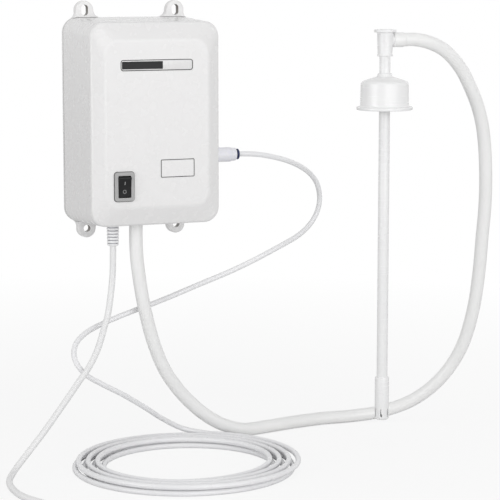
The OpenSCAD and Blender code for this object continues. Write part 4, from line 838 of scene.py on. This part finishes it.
# %% Back plate
COVER_GAP = 0.3
RECESS_ROUND, RECESS_DEEP, SHANK_HOLE = 3.25, 2.55, 1.7
plate = slab(RIM_WIDE, RIM_HIGH, 0, PLATE_THICK, CORNER, 12)
soften(plate, edges_on(plate, 1, 0), 0.8, 3)
ears = gather([wall_ear(side, up) for side in (-1, 1) for up in (-1, 1)])
front_room = slab(RIM_WIDE + 2 * COVER_GAP, RIM_HIGH + 2 * COVER_GAP, PLATE_THICK, EAR_THICK + 3,
                  CORNER + COVER_GAP, 12)
plate = join(plate, [cut(ears, [front_room]), *inner_side])
holes = []
for side in (-1, 1):
    slot = slab(2 * HOLE_ROUND, SLOT_LONG, -2, EAR_THICK + 3, HOLE_ROUND - 0.02, 8)
    x = side * EAR_ACROSS
    holes.append(moved(slot, (x, 0, hole_up)))
    holes.append(rod((x, 2, -hole_up), (x, -EAR_THICK - 3, -hole_up), HOLE_ROUND))
for x, z in screw_places:
    holes.append(rod((x, 2, z), (x, -RECESS_DEEP, z), RECESS_ROUND, segments=40))
    holes.append(rod((x, 2, z), (x, -PLATE_THICK - 3, z), SHANK_HOLE, segments=32))
back_plate = make_piece("back_plate_shell", cut(plate, holes), "case_white", "back_plate", 30)

# %% [markdown]
# ## Painted shade in the ears
# The walls of the ears' holes are much darker than the case, because shade falls deep in the holes, so
# that shade is painted on them as a darker colour. A second piece could line each hole. A number on
# every face is lighter: 1 on the holes' walls and 0 elsewhere, and the case's material reads it as an
# attribute.

# %% Painted shade in the ears
SLOT_REACH = SLOT_LONG / 2 - HOLE_ROUND


def hold_dust(piece, shaded_face):
    mesh = piece.data
    dust = mesh.attributes.new("dust", "FLOAT", "FACE")
    dust.data.foreach_set("value", [float(shaded_face(face.center / MM, face.normal)) for face in mesh.polygons])
    print(f"{piece.name}: dust on {sum(face.value for face in dust.data):.0f} faces")


def in_ear_hole(place, normal):
    reach = SLOT_REACH if place.z > 0 else 0.0
    along = max(0.0, abs(abs(place.z) - hole_up) - reach)
    return abs(normal.y) < 0.5 and math.hypot(abs(place.x) - EAR_ACROSS, along) < HOLE_ROUND + 0.2


# Painted shade on the walls of the ears' holes.
hold_dust(back_plate, in_ear_hole)

# %% [markdown]
# ## Rocker switch
# A grey bezel with a soft rim frames the black rocker, and a thin black ring round it is a painted
# shadow for the dark gap to the case. The bezel is a rounded plate joined to its housing, with a window
# cut for the key.

# %% Switch bezel
BEZEL_WIDE, BEZEL_HIGH, BEZEL_THICK, BEZEL_CORNER, BEZEL_SOFT = 24.0, 34.0, 2.6, 3.5, 1.1
KEY_WIDE, KEY_SWING, KEY_ROOM = 15.4, 12.6, 0.6
SHADOW_RING_OUT, SHADOW_RING_IN = 1.2, 4.0
switch_place = (SWITCH_ACROSS, 0, SWITCH_UP)
bezel = slab(BEZEL_WIDE, BEZEL_HIGH, CASE_DEPTH, CASE_DEPTH + BEZEL_THICK, BEZEL_CORNER, 8)
soften(bezel, edges_on(bezel, 1, -CASE_DEPTH - BEZEL_THICK), BEZEL_SOFT)
housing = block((-9.3, -CASE_DEPTH - 0.5, -14.2), (9.3, -CASE_DEPTH + 16, 14.2))
window = slab(KEY_WIDE + KEY_ROOM, 2 * KEY_SWING + KEY_ROOM, CASE_DEPTH - 13.4, CASE_DEPTH + 6, 1.2, 4)
bezel = cut(join(bezel, [housing]), [window])
make_piece("switch_bezel", moved(bezel, switch_place), "switch_grey", "switch_frame", 30)
# Painted shadow: a thin black ring stands for the shadow line round the bezel.
shadow_ring = slab(BEZEL_WIDE + SHADOW_RING_OUT, BEZEL_HIGH + SHADOW_RING_OUT, CASE_DEPTH - 0.1, CASE_DEPTH + 0.5, 4.0, 8)
shadow_ring_room = slab(BEZEL_WIDE - SHADOW_RING_IN, BEZEL_HIGH - SHADOW_RING_IN, CASE_DEPTH - 1.0, CASE_DEPTH + 1.0, 2.0, 4)
make_piece("switch_painted_shadow", moved(cut(shadow_ring, [shadow_ring_room]), switch_place), "seal_black", angle=30)

# %% [markdown]
# The rocker is a shallow V, so one half always stands out. It could be one bent plate. Here its outline
# is drawn from the side with arcs at its two ends and thickened, because the real key is solid and its
# ends sweep past the frame.

# %% Rocker
PIN_DEPTH, PIN_LONG, PIN_ROUND = 102.0, 17.8, 1.6
KEY_RISE, KEY_BACK, KEY_SOFT, KEY_TILT = 3.4, 3.0, 0.7, math.radians(10)
upper_tip = math.pi / 2 + math.asin((KEY_RISE * math.cos(KEY_TILT)) / KEY_SWING) + KEY_TILT
upper_back = math.acos(KEY_BACK / KEY_SWING)
key_place = Matrix.Translation((SWITCH_ACROSS, -PIN_DEPTH, SWITCH_UP)) @ Matrix.Rotation(KEY_TILT, 4, "X")


def rocker_key():
    shape = bmesh.new()
    ends = []
    for angle in (upper_tip, -upper_back):
        start = shape.verts.new((0, KEY_SWING * math.cos(angle), KEY_SWING * math.sin(angle)))
        ends += [start, sweep(shape, start, upper_back - upper_tip, 8, (1, 0, 0))]
    middle = shape.verts.new((0, -KEY_RISE, 0))
    pairs = ((ends[1], ends[2]), (ends[3], middle), (middle, ends[0]))
    close_and_thicken(shape, pairs, (KEY_WIDE, 0, 0))
    moved(shape, (-KEY_WIDE / 2, 0, 0))
    front = [edge for edge in shape.edges if edge.calc_face_angle() > 0.6 and edge.calc_length() > 4]
    soften(shape, front, KEY_SOFT)
    return shape


pin = rod((-PIN_LONG / 2, 0, 0), (PIN_LONG / 2, 0, 0), PIN_ROUND, segments=32)
key = join(rocker_key(), [pin])
bmesh.ops.transform(key, matrix=key_place, verts=key.verts)
make_piece("rocker_key", key, "rocker_black", "switch_rocker", 35, "rocker")

# %% [markdown]
# The rocker carries the two common marks for on and off: a bar on its upper half and a ring on its lower
# half. They are printed, so they are hair-thin raised shapes that lie on the two faces and move with the
# key.

# %% Marks on the rocker
MARK_OUT, MARK_THICK = 5.0, 0.06
BAR_HALF = Vector((0.4, MARK_THICK, 2.0))
RING_IN, RING_OUT = 1.7, 2.1


def mark_foot(up):
    return Vector((0, -KEY_RISE - MARK_OUT * math.tan(KEY_TILT), up * MARK_OUT))


bar = block(-BAR_HALF, BAR_HALF)
bmesh.ops.rotate(bar, cent=(0, 0, 0), matrix=Matrix.Rotation(KEY_TILT, 3, "X"), verts=bar.verts)
ring = (
    (RING_IN, -MARK_THICK, 0), (RING_OUT, -MARK_THICK, 0),
    (RING_OUT, MARK_THICK, 0), (RING_IN, MARK_THICK, 0),
)
facing = (0, -math.cos(KEY_TILT), math.sin(KEY_TILT))
marks = gather([moved(bar, mark_foot(1)), turned(ring, mark_foot(-1), facing, 48)])
bmesh.ops.transform(marks, matrix=key_place, verts=marks.verts)
make_piece("rocker_marks", marks, "switch_grey", body="rocker")

# %% [markdown]
# ## Name plate and label, left bare
# The front carries a long name plate with a dark field and a small framed label, both blank. Each is a
# thin plate or print with a fine dark outline: a rounded plate, less the same plate set in by the width
# of the line.

# %% Name plate and label
PLATE_WIDE, PLATE_HIGH, PRINT_THICK = 89.4, 13.8, 0.3
FIELD_WIDE, FIELD_HIGH, FIELD_ACROSS = 49.9, 8.9, -17.7
LABEL_WIDE, LABEL_HIGH = 41.7, 21.1
LINE_WIDE, LINE_THICK = 0.9, 0.05
plate_place, label_place = (-1.0, 0, 68.5), (24.0, 0, -51.7)
plate_top = CASE_DEPTH + PRINT_THICK


def outline(width, height, corner, depth):
    outer = slab(width, height, depth - LINE_THICK, depth + LINE_THICK, corner, 6)
    inner = slab(width - 2 * LINE_WIDE, height - 2 * LINE_WIDE, depth - 1, depth + 1, corner - LINE_WIDE, 6)
    return cut(outer, [inner])


backing = slab(PLATE_WIDE, PLATE_HIGH, CASE_DEPTH - 0.1, plate_top, 3.6, 6)
soften(backing, edges_on(backing, 1, -plate_top), 0.12, 2)
make_piece("name_plate", moved(backing, plate_place), "case_white")
frame_line = outline(PLATE_WIDE - 1.0, PLATE_HIGH - 1.0, 3.2, plate_top)
field = slab(FIELD_WIDE, FIELD_HIGH, plate_top - LINE_THICK, plate_top + LINE_THICK, 0.8, 4)
plate_print = gather([frame_line, moved(field, (FIELD_ACROSS, 0, 0))])
make_piece("name_plate_print", moved(plate_print, plate_place), "part_black")
label = outline(LABEL_WIDE, LABEL_HIGH, 1.5, CASE_DEPTH)
make_piece("label_outline", moved(label, label_place), "part_black")

# %% [markdown]
# ## Outlet fitting
# The pale fitting is screwed into the side, and a navy collet grips the tube in its mouth. It is a turned
# part, so its profile runs from the thread inside the case, over the flange and the barrel, and back
# along its bore.

# %% Outlet fitting and collet
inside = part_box("outlet_fitting")[0].x / MM - OUT_FACE
outlet_mouth = (OUT_FACE, -PORT_DEPTH, OUT_UP)
fitting = (
    (2.2, inside, 0), (6.0, inside, 0.5), (6.0, 0, 0), (10.5, 0, 0.8), (10.5, 3.0, 0.9), (8.75, 3.0, 0.4),
    (8.75, 24.6, 0.8), (7.9, 25.6, 0.3), (7.7, 31.0, 1.2), (4.75, 31.0, 0.3), (4.75, 22.0, 0),
    (3.25, 22.0, 0), (3.25, 19.5, 0), (5.18, 19.5, 0), (5.18, 17.5, 0), (3.25, 17.5, 0), (3.25, 14.5, 0),
    (2.2, 14.5, 0),
)
collet = (
    (3.48, 23.8, 0), (4.7, 23.8, 0.2), (4.7, 32.6, 0), (6.4, 32.6, 0.4), (6.4, 34.6, 0.7), (3.48, 34.6, 0.4),
)
make_piece("outlet_fitting_body", turned(fitting, outlet_mouth, (1, 0, 0)), "fitting_pale", "outlet_fitting")
collet_ring = turned(collet, outlet_mouth, (1, 0, 0))
make_piece("outlet_collet_ring", collet_ring, "collet_navy", "outlet_collet", body="collet")

# %% [markdown]
# ## Lead gland
# Where the lead leaves the case, a soft ribbed gland keeps it from kinking. It tapers slightly and thin
# grooves run round it, so that it bends evenly. The grooves are steps in the profile, written by a loop
# from the pitch. Shade falls in the grooves, and it is painted there as a darker colour.

# %% Lead gland
GLAND_LONG, GLAND_WIDE, GLAND_TIP, GLAND_BORE, GROOVES = 25.0, 7.4, 6.8, 3.8, 6
GROOVE_WIDE, GROOVE_DEEP = 1.1, 1.4
NECK_ROUND, FLANGE_ROUND, FLANGE_LOW, FLANGE_TOP = 6.0, 8.5, -113.6, -111.1
gland_low = LOW_FACE - GLAND_LONG
pitch = GLAND_LONG / (GROOVES + 0.7)


def gland_radius(height):
    return GLAND_TIP + (GLAND_WIDE - GLAND_TIP) * (height - gland_low) / GLAND_LONG


def in_groove(place, normal):
    out = math.hypot(place.x - GLAND_ACROSS, place.y + PORT_DEPTH)
    return place.z < LOW_FACE and 5.0 < out < gland_radius(place.z) - 0.4


gland = [(GLAND_BORE, gland_low, 0.3), (GLAND_TIP, gland_low, 1.6)]
for groove in range(1, GROOVES + 1):
    base = gland_low + groove * pitch - GROOVE_WIDE
    radius = gland_radius(base)
    gland += [(radius, base, 0.35), (radius - GROOVE_DEEP, base, 0.2)]
    gland += [(radius - GROOVE_DEEP, base + GROOVE_WIDE, 0.2), (radius, base + GROOVE_WIDE, 0.35)]
gland += [(GLAND_WIDE, LOW_FACE, 0), (NECK_ROUND, LOW_FACE, 0), (NECK_ROUND, FLANGE_LOW, 0)]
gland += [(FLANGE_ROUND, FLANGE_LOW, 0), (FLANGE_ROUND, FLANGE_TOP, 0.4), (GLAND_BORE, FLANGE_TOP, 0.3)]
gland = turned(gland, (GLAND_ACROSS, -PORT_DEPTH, 0))
# Painted shade in the gland's grooves.
hold_dust(make_piece("lead_gland", gland, "relief_white", "strain_relief"), in_groove)

# %% [markdown]
# ## Wand
# The wand stands in the water. A tee on top takes the hose, a disc plugs the tee, and a long pipe runs
# down through the cap to a foot with slits. All of them are turned. Only the tee's side port has to be
# joined on, and the bores and slits are cut.

# %% Tee and plug
WAND_ACROSS, WAND_DEPTH, PORT_UP = 264.0, 160.0, 95.5
TEE_LOW, TEE_TOP = 76.4, 104.4
PIPE_ROUND, PIPE_BORE, PIPE_TOP = 6.5, 5.0, 84.4
PORT_ROUND, PORT_BORE, PORT_LONG = 6.0, 4.0, 23.5
wand_place = (WAND_ACROSS, -WAND_DEPTH, 0)
port_place = (WAND_ACROSS, -WAND_DEPTH, PORT_UP)


def upright(low, high, radius):
    return rod((WAND_ACROSS, -WAND_DEPTH, low), (WAND_ACROSS, -WAND_DEPTH, high), radius, segments=56)


def sideways(long, radius, end_radius=None):
    return rod(port_place, (WAND_ACROSS + long, -WAND_DEPTH, PORT_UP), radius, end_radius, 56)


tee = (
    (0, TEE_LOW, 0), (9.2, TEE_LOW, 0.6), (9.2, 78.6, 0.5), (8.75, 79.2, 0.4), (9.5, 102.0, 0),
    (9.5, TEE_TOP, 0.4), (0, TEE_TOP, 0),
)
tee = join(turned(tee, wand_place), [sideways(9.6, 8.0, 7.4), sideways(PORT_LONG, PORT_ROUND)])
bores = [
    upright(TEE_LOW - 1, PIPE_TOP, PIPE_ROUND),
    upright(80, TEE_TOP + 1, PIPE_BORE),
    sideways(PORT_LONG + 1.5, PORT_BORE),
]
make_piece("wand_tee_body", cut(tee, bores), "wand_white", "wand_tee", 38)
disc = (
    (0, 101.5, 0), (5.0, 101.5, 0.3), (5.0, TEE_TOP, 0), (13.2, TEE_TOP, 0.9), (13.2, 107.9, 1.1),
    (9.5, 107.9, 0.3), (9.0, 107.5, 0.3), (0, 107.5, 0),
)
make_piece("wand_plug_disc", turned(disc, wand_place), "wand_white", "wand_plug")

# %% [markdown]
# A cuff seals the hose on the tee's side port, and a tail inside the case takes its other end. The pipe
# is a plain tube. The cap is a thin shell with a stepped skirt, so its profile runs up the collar, down
# the outside and back up the inside. It is spun in more steps than the rest, because it is the widest.

# %% Hose ends, pipe and cap
cuff = ((6.0, 9.51, 0), (8.6, 9.51, 0.5), (8.6, 23.5, 1.0), (8.0, 24.4, 0.3), (6.0, 24.4, 0))
tail = ((6.0, -107.0, 0), (8.0, -107.0, 0.2), (8.0, -92.05, 0.5), (6.0, -92.05, 0.3))
hose_ends = [turned(cuff, port_place, (1, 0, 0)), turned(tail, (HOSE_ACROSS, -PORT_DEPTH, 0), steps=48)]
make_piece("hose_cuffs", gather(hose_ends), "hose_white", "hose_ends")
pipe_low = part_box("dip_tube")[0].z / MM
pipe = (
    (PIPE_BORE, pipe_low, 0.3), (PIPE_ROUND, pipe_low, 0.4),
    (PIPE_ROUND, PIPE_TOP, 0.3), (PIPE_BORE, PIPE_TOP, 0.3),
)
make_piece("wand_pipe", turned(pipe, wand_place, steps=48), "wand_white", "dip_tube")
cap = (
    (6.55, 44.5, 0), (6.55, 56.5, 0.3), (8.4, 56.5, 0.7), (9.2, 52.6, 1.2), (26.4, 47.4, 2.2),
    (28.3, 45.0, 1.6), (28.8, 18.6, 0.9), (30.0, 17.5, 0.8), (33.2, 17.2, 0.9), (33.2, 13.5, 1.0),
    (27.3, 13.5, 0.4), (27.3, 44.5, 0.4),
)
make_piece("wand_cap", turned(cap, wand_place, steps=112), "wand_white", "bottle_cap", body="cap")

# %% [markdown]
# The foot is a sleeve with a rounded end, and water enters through six upright slits near its bottom. A
# spin makes only what is the same all the way round, so the slits are small slabs that are turned to
# their places and cut out, together with the way up inside.

# %% Foot with slits
FOOT_ROUND, FOOT_LOW, FOOT_MID, FOOT_TOP = 8.5, -360.0, -344.0, -308.0
SLITS, SLIT_WIDE, SLIT_HIGH, FIRST_SLIT = 6, 2.4, 10.0, 0.5236
foot = ((0, FOOT_LOW, 0), (FOOT_ROUND, FOOT_LOW, 3.0), (FOOT_ROUND, FOOT_TOP, 0.9), (0, FOOT_TOP, 0))
way_up = [
    upright(pipe_low, FOOT_TOP + 1, PIPE_ROUND),
    upright(FOOT_MID + 9, FOOT_TOP + 1, 6.4),
    upright(FOOT_LOW + 2, FOOT_MID + 10, 4.2),
]
for index in range(SLITS):
    slit = slab(SLIT_WIDE, SLIT_HIGH, 0, 12, 1.1, 4)
    turn = Matrix.Rotation(math.tau * index / SLITS + FIRST_SLIT, 3, "Z")
    bmesh.ops.rotate(slit, cent=(0, 0, 0), matrix=turn, verts=slit.verts)
    way_up.append(moved(slit, (WAND_ACROSS, -WAND_DEPTH, FOOT_LOW + 9)))
make_piece("wand_foot", cut(turned(foot, wand_place), way_up), "wand_white", "foot_valve", 38)

# %% [markdown]
# ## Cover screws
# Four small screws close the case from behind. Each is a turned pan head on a shank, with a cross recess
# cut in. One function builds a screw, and a loop sets it at the four corners.

# %% Cover screws
ARM_LONG, ARM_THIN = 1.9, 0.45


def cover_screw(across, up):
    profile = (
        (0, 0.3, 0), (2.2, 0.3, 0), (3.0, 1.1, 0.5), (3.0, 2.55, 0), (1.45, 2.55, 0), (1.45, 20.0, 0.4),
        (0, 20.5, 0),
    )
    screw = turned(profile, (across, 0, up), (0, -1, 0), 32)
    halves = ((ARM_THIN, ARM_LONG), (ARM_LONG, ARM_THIN))
    arms = [block((-wide, -1.5, -high), (wide, 1, high)) for wide, high in halves]
    return cut(screw, [moved(arm, (across, 0, up)) for arm in arms])


screws = gather([cover_screw(x, z) for x, z in screw_places])
make_piece("cover_screw_set", screws, "screw_steel", "cover_screws", 30)

# %% [markdown]
# ## Plug and tie
# The lead ends in a moulded plug with two flat blades and a round earth pin. Its body is a block with
# generous rounding and finger grooves, and a ribbed neck takes the lead. A strap with rounded corners
# holds the spare coil.

# %% Mains plug
PLUG_LONG, NECK_LONG = 34.0, 12.0
GRIP_ROUND, GRIP_OUT = 3.0, 2.3
RIBS, RIB_DEEP, RIB_STEP = 3, 1.0, 3.3
plug_low, plug_high = (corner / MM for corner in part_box("power_plug"))
plug_middle = (plug_low + plug_high) / 2
plug_face, neck_face = plug_high.y - PLUG_LONG, plug_high.y - NECK_LONG
body = block((plug_low.x, plug_face, plug_low.z), (plug_high.x, neck_face, plug_high.z))
soften(body, edges_along(body, 1), 6.0, 8)
soften(body, edges_on(body, 1, plug_face), 1.2, 4)
soften(body, edges_on(body, 1, neck_face), 2.6, 5)
grips = []
for side in (plug_low.x - GRIP_OUT, plug_high.x + GRIP_OUT):
    for step in (6.0, 10.0, 14.0):
        y = plug_face + step
        grips.append(rod((side, y, plug_low.z - 1), (side, y, plug_high.z + 1), GRIP_ROUND, segments=32))
neck = [(0, -1.0, 0), (8.2, -1.0, 0), (7.8, 1.5, 0.4)]
for rib in range(RIBS):
    radius, start = 7.6 - 0.8 * rib, 1.5 + RIB_STEP * rib
    neck += [(radius - RIB_DEEP, start + 0.3, 0.2), (radius - RIB_DEEP, start + 1.2, 0.2)]
    neck += [(radius, start + 1.5, 0.3), (radius - 0.3, start + 3.0, 0.3)]
neck += [(4.4, NECK_LONG, 0.5), (0, NECK_LONG, 0)]
neck = turned(neck, (plug_middle.x, neck_face, plug_middle.z), (0, 1, 0), 48)
plug = make_piece("mains_plug", join(cut(body, grips), [neck]), "lead_white", "power_plug", 35)

# %% [markdown]
# The blades are blocks with a bevelled tip, and the earth pin is turned. The strap is a rounded block
# with a smaller one cut out of it.

# %% Plug pins and tie
BLADE_THIN, BLADE_HIGH, BLADE_APART, BLADE_LONG = 0.75, 3.15, 6.35, 17
TIE_WALL, TIE_CORNER = 0.8, 3.0
blade_tip = plug_face - BLADE_LONG
pins = []
for side in (-BLADE_APART, BLADE_APART):
    x, z = plug_middle.x + side, plug_middle.z + (plug_high.z - plug_low.z) / 6
    low, high = (x - BLADE_THIN, blade_tip, z - BLADE_HIGH), (x + BLADE_THIN, plug_face + 1, z + BLADE_HIGH)
    blade = block(low, high)
    soften(blade, edges_on(blade, 1, blade_tip), 0.5, 3)
    pins.append(blade)
earth = ((0, -1, 0), (2.4, -1, 0), (2.4, 20, 1.6), (0, 20, 0))
pins.append(turned(earth, (plug_middle.x, plug_face, plug_low.z + 4.8), (0, -1, 0), 40))
plug_pins = make_piece("plug_pins", gather(pins), "terminal_brass")
tie_low, tie_high = (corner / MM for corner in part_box("lead_tie"))
inset = Vector((TIE_WALL, -1, TIE_WALL))
band, hole = block(tie_low, tie_high), block(tie_low + inset, tie_high - inset)
soften(band, edges_along(band, 1), TIE_CORNER, 6)
soften(hole, edges_along(hole, 1), TIE_CORNER - TIE_WALL, 6)
tie = make_piece("lead_tie_band", cut(band, [hole]), "seal_black", "lead_tie")

# %% [markdown]
# ## Finishes on the carried-over nodes
# Every node that isn't replaced keeps its exact shape and takes the finish that the record names for it.

# %% Finish the nodes
for part in subparts:
    for slot in nodes[part["node"]].material_slots:
        slot.material = finishes[part["material_slot"]]
print(f"{len(subparts)} nodes have a finish")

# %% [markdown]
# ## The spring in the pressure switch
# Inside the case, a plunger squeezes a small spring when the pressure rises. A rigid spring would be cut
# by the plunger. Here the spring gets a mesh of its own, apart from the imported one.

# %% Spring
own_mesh(nodes["pressure_spring"])

# %% [markdown]
# ## Floor
# The photograph is a cut-out on white. A backdrop could be lit until it is white, but that light would
# wash out the object too. So a pale floor takes a soft shadow, and Light Path lets it fade to white with
# distance for the camera alone, so that no horizon shows.

# %% Floor
FLOOR_GREY, FLOOR_ROUND = 0.78, 9.0
FADE_NEAR, FADE_FAR, WHITE_NEAR = 0.5, 1.4, 0.85
WHITE = (1, 1, 1, 1)


def show_mixed(tree, share, first, second, output):
    mixed = add_node(tree, "ShaderNodeMixShader", {0: share, 1: first, 2: second})[0]
    tree.links.new(mixed, tree.nodes[output].inputs["Surface"])


def pale_floor():
    material = bpy.data.materials.new("pale_floor")
    material.use_nodes = True
    tree = material.node_tree
    surface = tree.nodes["Principled BSDF"]
    fill(tree, surface, {"Base Color": (FLOOR_GREY, FLOOR_GREY, FLOOR_GREY, 1), "Roughness": 0.9})
    white = add_node(tree, "ShaderNodeEmission", {"Color": WHITE, "Strength": 1.0})[0]
    where = add_node(tree, "ShaderNodeTexCoord")["Object"]
    away = add_node(tree, "ShaderNodeVectorMath", {0: where}, operation="LENGTH")["Value"]
    share = stretch(tree, away, FADE_NEAR, FADE_FAR, WHITE_NEAR, 1.0)
    seen = maths(tree, "MULTIPLY", add_node(tree, "ShaderNodeLightPath")["Is Camera Ray"], share)
    show_mixed(tree, seen, surface.outputs[0], white, "Material Output")
    return material


floor_up = cad_box[0].z
ground = bmesh.new()
bmesh.ops.create_circle(ground, cap_ends=True, segments=96, radius=FLOOR_ROUND,
                        matrix=Matrix.Translation((0, 0, floor_up)))
floor = add_object("floor", as_mesh(ground, "floor"))
floor.data.materials.append(pale_floor())
floor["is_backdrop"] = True
print(f"floor at {floor_up:.3f} m")

# %% [markdown]
# ## Light
# The world does the same: camera, mirror and glass rays that miss everything see white, and a plain grey
# lights the object instead. A large soft lamp in front, one from the left and a weak one from above give
# the photograph's gentle shading.

# %% World and lamps
WORLD_GREY = 0.52


def studio_world():
    world = bpy.data.worlds.new("studio")
    world.use_nodes = True
    tree = world.node_tree
    dim = tree.nodes["Background"]
    fill(tree, dim, {"Color": WHITE, "Strength": WORLD_GREY})
    white = add_node(tree, "ShaderNodeBackground", {"Color": WHITE, "Strength": 1.0})[0]
    ray = add_node(tree, "ShaderNodeLightPath")
    seen = maths(tree, "MAXIMUM", ray["Is Camera Ray"], ray["Is Glossy Ray"])
    seen = maths(tree, "MAXIMUM", seen, ray["Is Transmission Ray"])
    show_mixed(tree, seen, dim.outputs[0], white, "World Output")
    return world


def soft_lamp(name, place, target, size, power):
    lamp = bpy.data.lights.new(name, "AREA")
    lamp.shape = "DISK"
    lamp.size = size
    lamp.energy = power
    made = add_object(name, lamp)
    made.location = place
    made.rotation_euler = (Vector(target) - Vector(place)).to_track_quat("-Z", "Y").to_euler()


scene.world = studio_world()
soft_lamp("key", (0.5, -3.2, 0.0), (0.05, -0.08, -0.1), 3.4, 59)
soft_lamp("left", (-2.9, -0.9, 0.2), (0.0, -0.08, -0.1), 1.8, 23)
soft_lamp("top", (0.1, -0.7, 2.5), (0.1, -0.1, -0.2), 1.8, 8)
print("three soft lamps and a grey world")

# %% [markdown]
# ## Compare the boxes and finish
# Dressing must not change the object's size.

# %% Sizes
new_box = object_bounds()
grown = max(abs(a - b) for old, new in zip(cad_box, new_box) for a, b in zip(old, new))
print(f"grown by {grown / MM:.2f} mm")
